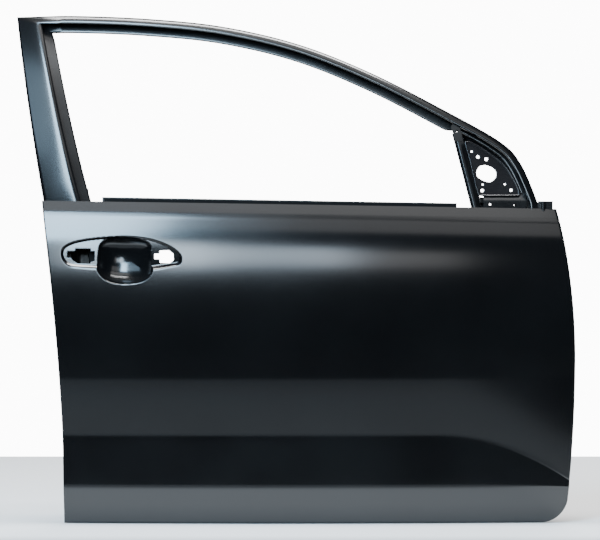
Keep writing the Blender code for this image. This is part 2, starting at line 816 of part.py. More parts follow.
for i in range(3):
    x = lerp(-0.900, -0.200, i / 2)
    drain = drill("drain_%d" % i, (x, 0.068, 0.018), (0, 0, 1), 0.0055, 0.012, 12)
    combine(inner_panel, drain)

# Latch mouth in the rear wall
LATCH_Z = 0.470
latch_wall = rear_x(LATCH_Z) + 0.0175
mouth = loft([[(latch_wall + dx, y, z) for y, z in
               ((0.040, LATCH_Z + 0.010), (0.052, LATCH_Z + 0.020), (0.068, LATCH_Z + 0.020),
                (0.0730, LATCH_Z + 0.012), (0.0730, LATCH_Z - 0.016), (0.045, LATCH_Z - 0.016),
                (0.040, LATCH_Z - 0.010))] for dx in (-0.012, 0.014)])
combine(inner_panel, cutter("latch_mouth", mouth))

# Raised pads on the front wall: coined flat for the two hinges and the check strap
HINGES = (("upper", HINGE_FACE_Y, UPPER_HINGE_Z), ("lower", LOWER_HINGE_Y, LOWER_HINGE_Z))


def wall_pad(name, y, z, half_height, half_width):
    outline = rounded_box(y - half_width, y + half_width, z - half_height, z + half_height, 0.005, 3)
    back = -PAD_LIFT - INNER_GAUGE / 2
    body = loft([[(back, py, pz) for py, pz in outline], [(0.0, py, pz) for py, pz in outline]])
    combine(inner_panel, cutter(name, body), "UNION")


for label, hy, hz in HINGES:
    wall_pad(label + "_hinge_pad", hy, hz, HINGE_BOLT_PITCH / 2 + PAD_MARGIN, 0.0115)
wall_pad("check_strap_pad", HINGE_FACE_Y, CHECK_STRAP_Z, 0.028 + PAD_MARGIN, 0.0130)

# Hinge bolt, check strap and wiring holes in the front wall
front_cuts = []
for label, hy, hz in HINGES:
    for j, dz in enumerate((-0.5, 0.5)):
        front_cuts.append(drill("%s_bolt_%d" % (label, j), (0.0, hy, hz + dz * HINGE_BOLT_PITCH),
                                (1, 0, 0), HINGE_BOLT_HOLE / 2, 0.020, 16))
wiring = drill("wiring_hole", (0.0, HINGE_FACE_Y, WIRING_HOLE_Z), (1, 0, 0), WIRING_HOLE / 2, 0.020, 24)
strap = loft([[(dx, y, z) for y, z in rounded_box(0.062, 0.078, CHECK_STRAP_Z - 0.017,
                                                  CHECK_STRAP_Z + 0.017, 0.004, 2)]
              for dx in (-0.012, 0.012)])
strap_cut = cutter("check_strap_slot", strap)
strap_bolts = [drill("strap_bolt_%d" % i, (0.0, HINGE_FACE_Y, CHECK_STRAP_Z + d), (1, 0, 0),
                     0.0035, 0.020, 12) for i, d in enumerate((-0.028, 0.028))]
for tool in front_cuts + [wiring, strap_cut] + strap_bolts:
    combine(inner_panel, tool)

# Window frame: outer and inner pressings, lofted along one line of stations
def pillar_x(z):
    f = (z - PILLAR_FOOT[1]) / (PILLAR_HEAD[1] - PILLAR_FOOT[1])
    bulge = 4.0 * PILLAR_BULGE * f * (1.0 - f) if 0.0 < f < 1.0 else 0.0
    return lerp(PILLAR_FOOT[0], PILLAR_HEAD[0], f) - bulge


def pillar_face(z):
    f = clamp((z - PILLAR_FOOT[1]) / (PILLAR_HEAD[1] - PILLAR_FOOT[1]))
    return lerp(PILLAR_FACE_FOOT, PILLAR_FACE_HEAD, f ** 0.75)


def header_point(t):
    return spline(HEADER_LINE, t)


def lip_overlap(x):
    """The inner lip narrows along the front pillar, beside the mirror plate."""
    return lerp(LIP_OVERLAP, 0.008, smooth((x + 0.215) / 0.030))


def outer_section(face):
    return ((0.0010, 0.0340), (0.0010, 0.0090), (0.0040, 0.0036), (0.30 * face, 0.0011),
            (0.60 * face, 0.0), (0.85 * face, 0.0010), (face - 0.0008, 0.0027),
            (face, 0.0052), (face - 0.0020, 0.0074))


def inner_section(face, lip):
    step = FRAME_GAUGE + FIT
    return ((0.0010 + step, 0.0120), (0.0010 + step, FRAME_DEPTH - 0.002),
            (0.0045, FRAME_DEPTH), (lip - 0.0060, FRAME_DEPTH), (lip - 0.0012, FRAME_DEPTH - 0.002),
            (lip, FRAME_DEPTH - 0.005), (lip, LIP_IN + 0.0030), (lip - 0.0030, LIP_IN + 0.0006),
            (face - 0.0040, LIP_IN), (face - 0.0065, LIP_IN - 0.002), (face - 0.0065, 0.0062))


PILLAR_LEVELS = [BELT_CREASE + rise for rise in (0.009, 0.035, 0.085, 0.145, 0.205, 0.265, 0.325, 0.370)]
HEADER_STEPS = 22
header_ts = [0.075 + (1.0 - 0.075) * i / HEADER_STEPS for i in range(HEADER_STEPS + 1)]


def header_z(x):
    low, high = 0.0, 0.9
    for _ in range(30):
        mid = 0.5 * (low + high)
        if header_point(mid).x < x:
            low = mid
        else:
            high = mid
    return header_point(low).y


def frame_place(section_of):
    """Rows of the frame: up the rear pillar, round the mitre, along the header."""
    rows = []
    for z in PILLAR_LEVELS:
        face = pillar_face(z)
        rows.append([(pillar_x(z) + w, z, d) for w, d in section_of(face, face + LIP_OVERLAP)])
    face = PILLAR_FACE_HEAD
    upright = section_of(face, face + LIP_OVERLAP)
    across = section_of(HEADER_FACE, HEADER_FACE + LIP_OVERLAP)
    mitre = []
    for (wp, d), (wh, _) in zip(upright, across):
        x, z = PILLAR_HEAD
        for _ in range(12):
            z = header_z(x) - wh
            x = pillar_x(z) + wp
        mitre.append((x, z, d))
    rows.append(mitre)
    for t in header_ts:
        p = header_point(t)
        ahead = header_point(min(t + 0.004, 1.0)) - header_point(max(t - 0.004, 0.0))
        n = Vector((ahead.y, -ahead.x)).normalized()
        lip = HEADER_FACE + lip_overlap(p.x)
        rows.append([(p.x + n.x * w, p.y + n.y * w, d) for w, d in section_of(HEADER_FACE, lip)])
    return [[(x, glass_y(x, z) - FACE_OUT + d, z) for x, z, d in row] for row in rows]


def frame_sheet(name, section_of):
    rows = frame_place(section_of)
    return sheet(name, len(rows), len(rows[0]), lambda r, c: rows[r][c], FRAME_GAUGE)


frame_outer = frame_sheet("window_frame_outer", lambda face, lip: outer_section(face))
frame_inner = frame_sheet("window_frame_inner", inner_section)


# Division bar: a C-shaped run for the front edge of the glass
def bar_x(z):
    return BAR_TOP[0] + BAR_RAKE * (z - BAR_TOP[1])


BAR_SECTION = ((0.0000, 0.0078), (0.0028, BAR_HALF_DEPTH), (0.0180, BAR_HALF_DEPTH),
               (BAR_WIDTH, 0.0075), (BAR_WIDTH, -0.0075), (0.0180, -BAR_HALF_DEPTH),
               (0.0052, -BAR_HALF_DEPTH), (0.0040, -0.0078))
BAR_LEVELS = (0.0, 0.035, 0.080, 0.130, 0.180, 0.240, 0.300, 0.360, BAR_TOP[1] - BAR_FOOT_Z)


def bar_place(r, c):
    w, d = BAR_SECTION[c]
    z = BAR_TOP[1] - BAR_LEVELS[r]
    if r == 0:
        z -= 0.58 * w + 0.0015
    x = bar_x(z) + w
    return x, glass_y(x, z) + d, z


division_bar = sheet("division_bar", len(BAR_LEVELS), len(BAR_SECTION), bar_place, CHANNEL_GAUGE)

# Rear lower run for the glass, inside the door below the rear pillar
REAR_RUN_TOP = INNER_TOP + 0.011
REAR_RUN_FOOT = 0.312
RUN_SECTION = ((0.0180, -0.0085), (0.0165, -BAR_HALF_DEPTH), (0.0020, -BAR_HALF_DEPTH),
               (0.0, -0.0075), (0.0, 0.0075), (0.0020, BAR_HALF_DEPTH),
               (0.0165, BAR_HALF_DEPTH), (0.0180, 0.0085))


def rear_run_x(z):
    return pillar_x(z) + PILLAR_FACE_FOOT - 0.006


def rear_run_place(r, c):
    w, d = RUN_SECTION[c]
    z = lerp(REAR_RUN_FOOT, REAR_RUN_TOP, r / 6)
    x = rear_run_x(z) + w
    return x, glass_y(x, z) + d, z


rear_run = sheet("rear_glass_run", 7, len(RUN_SECTION), rear_run_place, CHANNEL_GAUGE)

# Mirror plate in the front corner of the window
MIRROR_CENTRE = (-0.130, BELT_CREASE + 0.080)
MIRROR_LEAN = 0.198
MIRROR_PLAN = 0.0588
MIRROR_Y = glass_y(*MIRROR_CENTRE) - 0.002
PLATE_GAUGE = 0.0014
PLATE_LINE = above_belt(((-0.1530, 0.0335), (-0.1150, 0.0330), (-0.0780, 0.0335), (-0.0735, 0.0385),
                         (-0.0775, 0.0530), (-0.0850, 0.0690), (-0.0930, 0.0835), (-0.1026, 0.0967),
                         (-0.1140, 0.1080), (-0.1264, 0.1180), (-0.1420, 0.1290), (-0.1586, 0.1394),
                         (-0.1755, 0.1480), (-0.1845, 0.1485), (-0.1850, 0.1410), (-0.1770, 0.1140),
                         (-0.1664, 0.0720), (-0.1580, 0.0395)))
MIRROR_HOLE = above_belt(((-0.1472, 0.0996), (-0.1380, 0.0980), (-0.1275, 0.0930),
                          (-0.1208, 0.0835), (-0.1222, 0.0710), (-0.1320, 0.0622),
                          (-0.1400, 0.0615), (-0.1520, 0.0655), (-0.1630, 0.0740),
                          (-0.1645, 0.0850), (-0.1575, 0.0965)))
PLATE_HOLES = above_belt(((-0.1731, 0.1273, 0.0035), (-0.1599, 0.1159, 0.0047),
                          (-0.1609, 0.1207, 0.0016), (-0.1423, 0.1111, 0.0050),
                          (-0.1506, 0.0570, 0.0032), (-0.1518, 0.0444, 0.0047),
                          (-0.1039, 0.0577, 0.0032), (-0.0907, 0.0452, 0.0043)))


def mirror_y(x, z):
    return MIRROR_Y + MIRROR_LEAN * (z - MIRROR_CENTRE[1]) + MIRROR_PLAN * (x - MIRROR_CENTRE[0])


def rim_loop(points, inset, lift):
    ring = grow([Vector(p) for p in points], -inset)
    return [(p.x, mirror_y(p.x, p.y) - lift, p.y) for p in ring]


PLATE_RIM = ((0.0050, 0.0), (0.0034, 0.0012), (0.0022, 0.0042), (0.0006, 0.0050), (-0.0004, 0.0036))
bm = loft([rim_loop(PLATE_LINE, inset, lift) for inset, lift in PLATE_RIM], closed_ends=False)
floor_loop = sorted((v for v in bm.verts if v.is_boundary), key=lambda v: v.index)[:len(PLATE_LINE)]
bmesh.ops.contextual_create(bm, geom=floor_loop)
mirror_plate = ecoat_part("mirror_plate", bm)
thicken(mirror_plate, PLATE_GAUGE)
soften(mirror_plate)
for i, (x, z, r) in enumerate(PLATE_HOLES):
    y = mirror_y(x, z)
    combine(mirror_plate, prism("plate_hole_%d" % i, circle(x, z, r, 16), y - 0.012, y + 0.012))
big = [(p.x, p.y) for p in closed_spline(MIRROR_HOLE, 33)]
combine(mirror_plate, prism("mirror_cable_hole", big, MIRROR_Y - 0.020, MIRROR_Y + 0.020))

# Inner sail panel: a pressed ring that ties the bar to the front pillar
SAIL_OUTER = above_belt(((-0.1590, -0.0050), (-0.1250, -0.0050), (-0.0900, -0.0050),
                         (-0.0560, -0.0050), (-0.0575, 0.0350), (-0.0720, 0.0750),
                         (-0.0950, 0.1130), (-0.1330, 0.1440), (-0.1760, 0.1700), (-0.1985, 0.1790),
                         (-0.1905, 0.1350), (-0.1780, 0.0750)))
SAIL_INNER = above_belt(((-0.1560, 0.0310), (-0.1300, 0.0280), (-0.1000, 0.0280), (-0.0850, 0.0310),
                         (-0.0830, 0.0430), (-0.0940, 0.0690), (-0.1120, 0.0950), (-0.1370, 0.1160),
                         (-0.1610, 0.1300), (-0.1790, 0.1380), (-0.1770, 0.1150),
                         (-0.1680, 0.0750)))
SAIL_BACK = FRAME_DEPTH - FACE_OUT + FRAME_GAUGE / 2 + 0.0005 + REINFORCEMENT_GAUGE / 2


def sail_place(r, c):
    share, lift = ((0.0, 0.0), (0.55, 0.0), (0.70, 0.0035), (1.0, 0.0035))[r]
    k = c % len(SAIL_OUTER)
    x = lerp(SAIL_OUTER[k][0], SAIL_INNER[k][0], share)
    z = lerp(SAIL_OUTER[k][1], SAIL_INNER[k][1], share)
    return x, glass_y(x, z) + SAIL_BACK - lift, z


bm, _ = grid_bmesh(4, len(SAIL_OUTER) + 1, sail_place)
bmesh.ops.remove_doubles(bm, verts=bm.verts, dist=0.00002)
sail_panel = ecoat_part("sail_inner_panel", bm)
thicken(sail_panel, REINFORCEMENT_GAUGE)
soften(sail_panel)

# Sail base: the dark step between the mirror plate and the belt of the skin
BASE_TOP = (BELT_CREASE + 0.0390, BELT_CREASE + 0.0340)
BASE_PROFILE = ((0.0265, 0.0738), (0.0190, 0.0705), (0.0050, 0.0670), (-0.0100, 0.0650))
BASE_X = (-0.1495, -0.1300, -0.1100, -0.0900, -0.0740, -0.0590)
BEHIND_PLATE = PLATE_GAUGE / 2 + FIT + REINFORCEMENT_GAUGE / 2
BASE_HOLES = above_belt(((-0.1356, 0.0147), (-0.0834, 0.0131)))


def base_place(r, c):
    x = BASE_X[c]
    if r < len(BASE_TOP):
        return x, mirror_y(x, BASE_TOP[r]) + BEHIND_PLATE, BASE_TOP[r]
    rise, y = BASE_PROFILE[r - len(BASE_TOP)]
    return x, y + bow(x) - bow(-0.110), BELT_CREASE + rise


sail_base = sheet("sail_base_bracket", len(BASE_TOP) + len(BASE_PROFILE), len(BASE_X), base_place,
                  REINFORCEMENT_GAUGE)
for i, (x, z) in enumerate(BASE_HOLES):
    combine(sail_base, prism("base_hole_%d" % i, circle(x, z, 0.0022, 12), 0.050, 0.095))

# Front belt tab with its pressed bead
TAB_X = (-0.0365, -0.0305, -0.0282, -0.0262, -0.0232, -0.0212, -0.0188, -0.0045)
TAB_LIFT = (0.0, 0.0, 0.0012, 0.0030, 0.0030, 0.0012, 0.0, 0.0)
TAB_RISE = (-0.017, -0.003, 0.009, 0.0215)
TAB_Y = 0.0600
front_tab = sheet("front_belt_tab", len(TAB_RISE), len(TAB_X),
                  lambda r, c: (TAB_X[c], TAB_Y - TAB_LIFT[c], BELT_CREASE + TAB_RISE[r]),
                  REINFORCEMENT_GAUGE)

# Belt reinforcements: outer one behind the skin, inner one against the belt flange
OUTER_BELT_X = (-0.962, -0.185)
BELT_COLUMNS = 15
BEHIND_SKIN = SKIN_GAUGE + FIT + REINFORCEMENT_GAUGE / 2
OUTER_BELT = ((0.020, section(BELT_CREASE + 0.020, 0.0) + BEHIND_SKIN),
              (0.010, section(BELT_CREASE + 0.010, 0.0) + BEHIND_SKIN),
              (0.005, 0.0400), (0.0, 0.0455), (-0.015, 0.0460), (-0.022, 0.0410), (-0.028, 0.0400))


def outer_belt_place(r, c):
    rise, y = OUTER_BELT[r]
    x = lerp(OUTER_BELT_X[0], OUTER_BELT_X[1], c / (BELT_COLUMNS - 1))
    return x, y + bow(x), row_height(BELT_CREASE + rise, x)


outer_belt = sheet("belt_reinforcement_outer", len(OUTER_BELT), BELT_COLUMNS, outer_belt_place,
                   REINFORCEMENT_GAUGE)
INNER_BELT_FLUSH = BELT_FLANGE_Y - INNER_GAUGE / 2 - FIT - REINFORCEMENT_GAUGE / 2
INNER_BELT = ((0.0, INNER_BELT_FLUSH), (0.0150, INNER_BELT_FLUSH), (0.0230, 0.0800),
              (0.0480, 0.0800), (0.0540, 0.0835), (0.0640, 0.0835))


def belt_flange_top(x):
    return lerp(BELT_FLANGE_TOP_REAR, BELT_FLANGE_TOP_FRONT,
                (x - BELT_FLANGE_X[0]) / (BELT_FLANGE_X[1] - BELT_FLANGE_X[0]))


def inner_belt_place(r, c):
    drop, y = INNER_BELT[r]
    x = lerp(BELT_FLANGE_X[0] + 0.004, BELT_FLANGE_X[1] - 0.004, c / 6)
    return x, y, belt_flange_top(x) - 0.0025 - drop


inner_belt = sheet("belt_reinforcement_inner", len(INNER_BELT), 7, inner_belt_place, REINFORCEMENT_GAUGE)

# Handle reinforcement: hat plate behind the recess, open round the cup
HANDLE_PLATE_X = (-0.1295, -0.106, -0.081, -0.053, -0.026, 0.004, 0.034, 0.064, 0.094,
                  0.124, 0.132, 0.143)
HANDLE_PLATE_Z = (-0.057, -0.046, -0.040, -0.013, 0.015, 0.042, 0.073, 0.079, 0.088)
PLATE_BACK = WING_DEPTH + SKIN_GAUGE + 0.0006 + REINFORCEMENT_GAUGE


def handle_plate_place(r, c):
    z = HANDLE_SILL_Z + HANDLE_PLATE_Z[r]
    x = max(HANDLE_X + HANDLE_PLATE_X[c], rear_x(z) + 0.0235)
    flush = r in (0, 1, 7, 8) or c in (10, 11)
    gap = SKIN_GAUGE + 0.0005 + REINFORCEMENT_GAUGE / 2
    return x, skin_y(x, z) + (gap if flush else PLATE_BACK), z


handle_plate = sheet("handle_reinforcement", len(HANDLE_PLATE_Z), len(HANDLE_PLATE_X),
                     handle_plate_place, REINFORCEMENT_GAUGE)
cup_clear = [(p.x, p.y) for p in grow(closed_spline(CUP_LINE, 36), 0.0065)]
combine(handle_plate, prism("cup_clearance", cup_clear, -0.010, 0.080))
for label, line in (("lock", LOCK_HOLE), ("pivot", PIVOT_HOLE)):
    wider = [(p.x, p.y) for p in grow([Vector(p) for p in line], 0.0016)]
    combine(handle_plate, prism("plate_%s_hole" % label, wider, 0.004, 0.060))


# Impact beam: a tube that follows the bow of the skin
def beam_z(x):
    return lerp(BEAM_REAR[1], BEAM_FRONT[1], (x - BEAM_REAR[0]) / (BEAM_FRONT[0] - BEAM_REAR[0]))


def beam_y(x):
    """Tube axis: clear of the skin, with the character line smoothed over."""
    mid = 0.5 * (section(beam_z(x) + 0.012, x) + section(beam_z(x) - 0.012, x))
    return mid + bow(x) + SKIN_GAUGE + BEAM_STANDOFF + BEAM_RADIUS


def tube_mesh(name, radius, x0, x1, count=15):
    curve = bpy.data.curves.new(name, "CURVE")
    curve.dimensions = "3D"
    curve.bevel_depth = radius
    curve.bevel_resolution = 3
    curve.use_fill_caps = True
    run = curve.splines.new("POLY")
    run.points.add(count - 1)
    for i, p in enumerate(run.points):
        x = lerp(x0, x1, i / (count - 1))
        p.co = (x, beam_y(x), beam_z(x), 1.0)
    ob = bpy.data.objects.new(name, curve)
    bpy.context.scene.collection.objects.link(ob)
    view = bpy.context.evaluated_depsgraph_get()
    mesh = bpy.data.meshes.new_from_object(ob.evaluated_get(view))
    bpy.data.objects.remove(ob, do_unlink=True)
    bm = bmesh.new()
    bm.from_mesh(mesh)
    bmesh.ops.remove_doubles(bm, verts=bm.verts, dist=0.00002)
    bpy.data.meshes.remove(mesh)
    return bm


impact_beam = ecoat_part("impact_beam", tube_mesh("beam_body", BEAM_RADIUS, BEAM_REAR[0], BEAM_FRONT[0]))
bore = cutter("beam_bore", tube_mesh("beam_bore_line", BEAM_RADIUS - BEAM_WALL,
                                     BEAM_REAR[0] - 0.004, BEAM_FRONT[0] + 0.004))
combine(impact_beam, bore)
soften(impact_beam)


def saddle(name, x0, x1, tab):
    """Bracket that cradles the tube from inboard, with two welding flanges."""
    radius = BEAM_RADIUS + 0.0008 + REINFORCEMENT_GAUGE / 2
    arc = [math.radians(-90.0 + 22.5 * i) for i in range(9)]
    shape = [(0.0, -radius - tab), (0.0, -radius - 0.004)]
    shape += [(radius * math.cos(a), radius * math.sin(a)) for a in arc]
    shape += [(0.0, radius + 0.004), (0.0, radius + tab)]

    def place(r, c):
        x = lerp(x0, x1, r / 3)
        dy, dz = shape[c]
        return x, beam_y(x) + dy, beam_z(x) + dz

    return sheet(name, 4, len(shape), place, REINFORCEMENT_GAUGE)


beam_front = saddle("impact_beam_front_bracket", -0.110, -0.006, 0.026)
beam_rear = saddle("impact_beam_rear_bracket", -1.006, -0.925, 0.022)


# Pads of sealer between the tube and the skin
def pad(name, x):
    ring0, ring1 = [], []
    for k in range(12):
        a = 2 * math.pi * k / 12
        px, pz = x + 0.011 * math.cos(a), beam_z(x) + 0.0085 * math.sin(a)
        ring0.append((px, skin_y(px, pz) + SKIN_GAUGE + 0.0004, pz))
        ring1.append((px, beam_y(px) - BEAM_RADIUS - 0.0006, pz))
    ob = ecoat_part(name, loft([ring0, ring1]), SEALER, 0.75)
    soften(ob)
    return ob


for i, x in enumerate((-0.880, -0.640, -0.400, -0.180)):
    pad("anti_flutter_pad_%d" % (i + 1), x)


# Plates behind the front wall: hinges and check strap
def wall_plate(name, y0, y1, z0, z1, gauge, holes, colour=DARK_ECOAT):
    x = -PAD_LIFT - INNER_GAUGE - FIT - gauge / 2
    outline = rounded_box(y0, y1, z0, z1, 0.006, 3)
    ob = ecoat_part(name, loft([[(x - gauge / 2, y, z) for y, z in outline],
                                [(x + gauge / 2, y, z) for y, z in outline]]), colour)
    for tool in holes:
        combine(ob, tool)
    soften(ob)
    return ob


upper_plate = wall_plate("upper_hinge_reinforcement", 0.049, 0.087, 0.424, 0.520,
                         HINGE_PLATE_GAUGE, front_cuts[0:2])
lower_plate = wall_plate("lower_hinge_reinforcement", 0.0600, 0.0865, 0.088, 0.182,
                         HINGE_PLATE_GAUGE, front_cuts[2:4])
check_plate = wall_plate("check_strap_reinforcement", 0.052, 0.086, 0.258, 0.342,
                         0.0015, [strap_cut] + strap_bolts)


def hex_nut(name, centre, axis, across, height, hole):
    bm = bmesh.new()
    bmesh.ops.create_cone(bm, cap_ends=True, segments=6, radius1=across / math.sqrt(3),
                          radius2=across / math.sqrt(3), depth=height)
    turn = Vector((0, 0, 1)).rotation_difference(Vector(axis)).to_matrix()
    for v in bm.verts:
        v.co = turn @ v.co + Vector(centre)
    ob = ecoat_part(name, bm, DARK_ECOAT, 0.40)
    combine(ob, drill(name + "_thread", centre, axis, hole / 2, height * 1.6, 12))
    soften(ob)
    return ob


nut_x = -PAD_LIFT - INNER_GAUGE - 2 * FIT - HINGE_PLATE_GAUGE - 0.004
for label, hy, hz in HINGES:
    for j, dz in enumerate((-0.5, 0.5)):
        hex_nut("%s_hinge_nut_%d" % (label, j + 1), (nut_x, hy, hz + dz * HINGE_BOLT_PITCH),
                (1, 0, 0), 0.016, 0.008, 0.0085)


# Latch reinforcement behind the rear wall
LATCH_ROWS = (0.412, 0.440, 0.480, 0.510, 0.530)
LATCH_DEPTHS = (0.030, 0.042, 0.056, 0.069)


def latch_place(r, c):
    z, y = LATCH_ROWS[r], LATCH_DEPTHS[c]
    x0, _ = rear_edge(z)
    foot = skin_y(x0, z) + FLANGE_LIFT
    wall = lerp(0.0150, 0.0205, (y - foot) / (REAR_LEDGE_Y - 0.0035 - foot))
    return x0 + wall + INNER_GAUGE / 2 + 0.0005 + REINFORCEMENT_GAUGE / 2, y, z


latch_plate = sheet("latch_reinforcement", len(LATCH_ROWS), len(LATCH_DEPTHS), latch_place,
                    REINFORCEMENT_GAUGE)
latch_screws = [drill("latch_screw_%d" % i, (latch_wall, y, z), (1, 0, 0), 0.0033, 0.030, 12)
                for i, (y, z) in enumerate(((0.052, LATCH_Z + 0.038), (0.046, LATCH_Z - 0.034),
                                            (0.064, LATCH_Z - 0.034)))]
combine(latch_plate, bpy.data.objects["latch_mouth"])
for tool in latch_screws:
    combine(latch_plate, tool)
    combine(inner_panel, tool)

# Brackets between the glass runs, the frame and the inner panel
PANEL_FLUSH = INNER_Y - INNER_GAUGE / 2 - 0.0004 - REINFORCEMENT_GAUGE / 2


def run_bracket(name, x_run, z0, z1, direction):
    """Z bracket: one flange on the run, the other on the inner panel."""
    steps = ((0.000, "run"), (0.014, "run"), (0.017, "run"), (0.021, "panel"), (0.038, "panel"))

    def place(r, c):
        dx, side = steps[c]
        z = lerp(z0, z1, r)
        x = x_run + dx * direction
        if side == "run":
            return x, glass_y(x_run, z) + BAR_HALF_DEPTH + CHANNEL_GAUGE / 2 + 0.0009 + 0.0006, z
        return x, PANEL_FLUSH, z

    return sheet(name, 2, len(steps), place, REINFORCEMENT_GAUGE)


front_bracket = run_bracket("front_run_bracket", bar_x(INNER_TOP - 0.074) + 0.004, INNER_TOP - 0.038,
                            INNER_TOP - 0.012, -1.0)
rear_bracket = run_bracket("rear_run_bracket", rear_run_x(0.350) + 0.003, 0.335, 0.365, 1.0)


def frame_bracket(name, xs, extra):
    """Strap from the foot of the frame down to the inner panel."""
    levels = [INNER_TOP + rise for rise in (-0.046, -0.016, -0.002, 0.034, 0.050, 0.070)]

    def place(r, c):
        x, z = xs[c], levels[r]
        on_frame = glass_y(x, z) + SAIL_BACK + extra
        return x, (PANEL_FLUSH if r < 2 else lerp(PANEL_FLUSH, on_frame, 1.0 if r > 2 else 0.15)), z

    return sheet(name, len(levels), len(xs), place, REINFORCEMENT_GAUGE)


frame_rear_bracket = frame_bracket("frame_rear_bracket", (-1.003, -0.994, -0.985, -0.974), 0.0)
frame_front_bracket = frame_bracket("frame_front_bracket", (-0.082, -0.070, -0.058, -0.050), 0.0022)

# Pull-handle bracket: a hat on the outboard side of the inner panel
HAT = ((-0.048, 0.0), (-0.032, 0.0), (-0.026, 0.018), (0.026, 0.018), (0.032, 0.0), (0.048, 0.0))
PULL_X, PULL_Z = -0.720, 0.262
pull_bracket = sheet("pull_handle_bracket", 2, len(HAT),
                     lambda r, c: (PULL_X + HAT[c][0], PANEL_FLUSH - HAT[c][1], PULL_Z + (r - 0.5) * 0.036),
                     REINFORCEMENT_GAUGE)
for i, dx in enumerate((-0.040, 0.040)):
    combine(pull_bracket, prism("pull_hole_%d" % i, circle(PULL_X + dx, PULL_Z, 0.0035, 12),
                                PANEL_FLUSH - 0.004, PANEL_FLUSH + 0.001))

# Regulator nuts on the inner panel
REGULATOR_NUTS = ((-0.478, INNER_TOP - 0.074), (-0.478, 0.400), (-0.340, 0.300), (-0.640, 0.285))
for i, (x, z) in enumerate(REGULATOR_NUTS):
    tool = drill("regulator_hole_%d" % i, (x, INNER_Y, z), (0, 1, 0), 0.0035, 0.010, 12)
    combine(inner_panel, tool)
    hex_nut("regulator_nut_%d" % (i + 1), (x, INNER_Y - INNER_GAUGE / 2 - FIT - 0.003, z),
            (0, 1, 0), 0.013, 0.006, 0.0052)
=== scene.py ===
# %% [markdown]
# A bare front door shell of a car, straight from the dip tank: pressed steel with
# a satin black electrocoat.

# %% Load the frame
import math

import bmesh
import bpy
import numpy as np
from mathutils import Matrix, Vector
from mathutils.geometry import delaunay_2d_cdt


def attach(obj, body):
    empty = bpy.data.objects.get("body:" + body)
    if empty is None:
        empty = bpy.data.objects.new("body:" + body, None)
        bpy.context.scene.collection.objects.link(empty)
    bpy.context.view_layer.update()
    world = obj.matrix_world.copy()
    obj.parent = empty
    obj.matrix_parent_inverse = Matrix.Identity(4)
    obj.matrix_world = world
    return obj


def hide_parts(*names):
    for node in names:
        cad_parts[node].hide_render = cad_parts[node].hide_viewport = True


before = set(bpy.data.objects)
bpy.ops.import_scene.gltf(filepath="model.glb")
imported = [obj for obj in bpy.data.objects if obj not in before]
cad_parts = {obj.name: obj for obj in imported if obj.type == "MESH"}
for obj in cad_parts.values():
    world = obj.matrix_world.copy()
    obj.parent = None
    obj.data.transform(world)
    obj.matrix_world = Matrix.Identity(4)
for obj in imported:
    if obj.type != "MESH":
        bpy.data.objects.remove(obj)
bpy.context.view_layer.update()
BODY = "root"
# The drawing frame has x = 0 at the hinge faces, y = 0 at the most outboard skin
# and z = 0 at the lowest edge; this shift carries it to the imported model's frame.
SHIFT = Vector((0.0, -0.070, -0.485))


# %% [markdown]
# Two small helpers carry most of the work.  A colour is picked as an sRGB hex
# value, but the shader wants linear light, so one function turns it.  Shader
# trees are wired by hand, and a single function adds a node with its settings.

# %% Colour and node helpers
def linear(hex_colour):
    channels = [int(hex_colour[i:i + 2], 16) / 255.0 for i in (1, 3, 5)]
    bent = [c / 12.92 if c <= 0.04045 else ((c + 0.055) / 1.055) ** 2.4 for c in channels]
    return (*bent, 1.0)


def add_node(tree, kind, values=None, links=None, **settings):
    """One node: its settings, the values of its sockets and the links into them."""
    node = tree.nodes.new(kind)
    for key, value in settings.items():
        setattr(node, key, value)
    for socket, value in (values or {}).items():
        node.inputs[socket].default_value = value
    for socket, source in (links or {}).items():
        tree.links.new(source, node.inputs[socket])
    return node


print("black e-coat in linear light", [round(c, 4) for c in linear("#0a0a0b")[:3]])


# %% [markdown]
# Cathodic electrocoat is a thin satin primer that every pressing of the door
# shares.  It flows out smoothly on the flat panels and leaves a faint orange peel
# of a millimetre or two, which is drawn a little coarser here so that it shows.
# Handling and dust change the gloss, and the black a trace, in wide soft patches.

# %% The electrocoat material
MM = 0.001
COAT_IOR = 1.62


def new_material(name):
    """A material, its tree, its shader and the place on the object."""
    mat = bpy.data.materials.new(name)
    mat.use_nodes = True
    where = add_node(mat.node_tree, "ShaderNodeTexCoord").outputs["Object"]
    return mat, mat.node_tree, mat.node_tree.nodes["Principled BSDF"], where


def electrocoat(name, base, dusty, roughness, spread, peel_mm, peel_height_mm, patch_mm, ior=COAT_IOR):
    mat, tree, shader, where = new_material(name)
    shader.inputs["IOR"].default_value = ior
    patches = add_node(tree, "ShaderNodeTexNoise",
                       {"Scale": 1.0 / (patch_mm * MM), "Detail": 4.0, "Roughness": 0.55},
                       {"Vector": where})
    tone = add_node(tree, "ShaderNodeValToRGB", links={"Fac": patches.outputs["Fac"]})
    for stop, position, colour in zip(tone.color_ramp.elements, (0.35, 0.75), (base, dusty)):
        stop.position = position
        stop.color = linear(colour)
    gloss = add_node(tree, "ShaderNodeMapRange",
                     {"From Min": 0.3, "From Max": 0.7,
                      "To Min": roughness - spread, "To Max": roughness + spread},
                     {"Value": patches.outputs["Fac"]})
    peel = add_node(tree, "ShaderNodeTexNoise", {"Scale": 1.0 / (peel_mm * MM), "Detail": 2.0},
                    {"Vector": where})
    bump = add_node(tree, "ShaderNodeBump", {"Strength": 0.35, "Distance": peel_height_mm * MM},
                    {"Height": peel.outputs["Fac"]})
    tree.links.new(tone.outputs["Color"], shader.inputs["Base Color"])
    tree.links.new(gloss.outputs["Result"], shader.inputs["Roughness"])
    tree.links.new(bump.outputs["Normal"], shader.inputs["Normal"])
    return mat


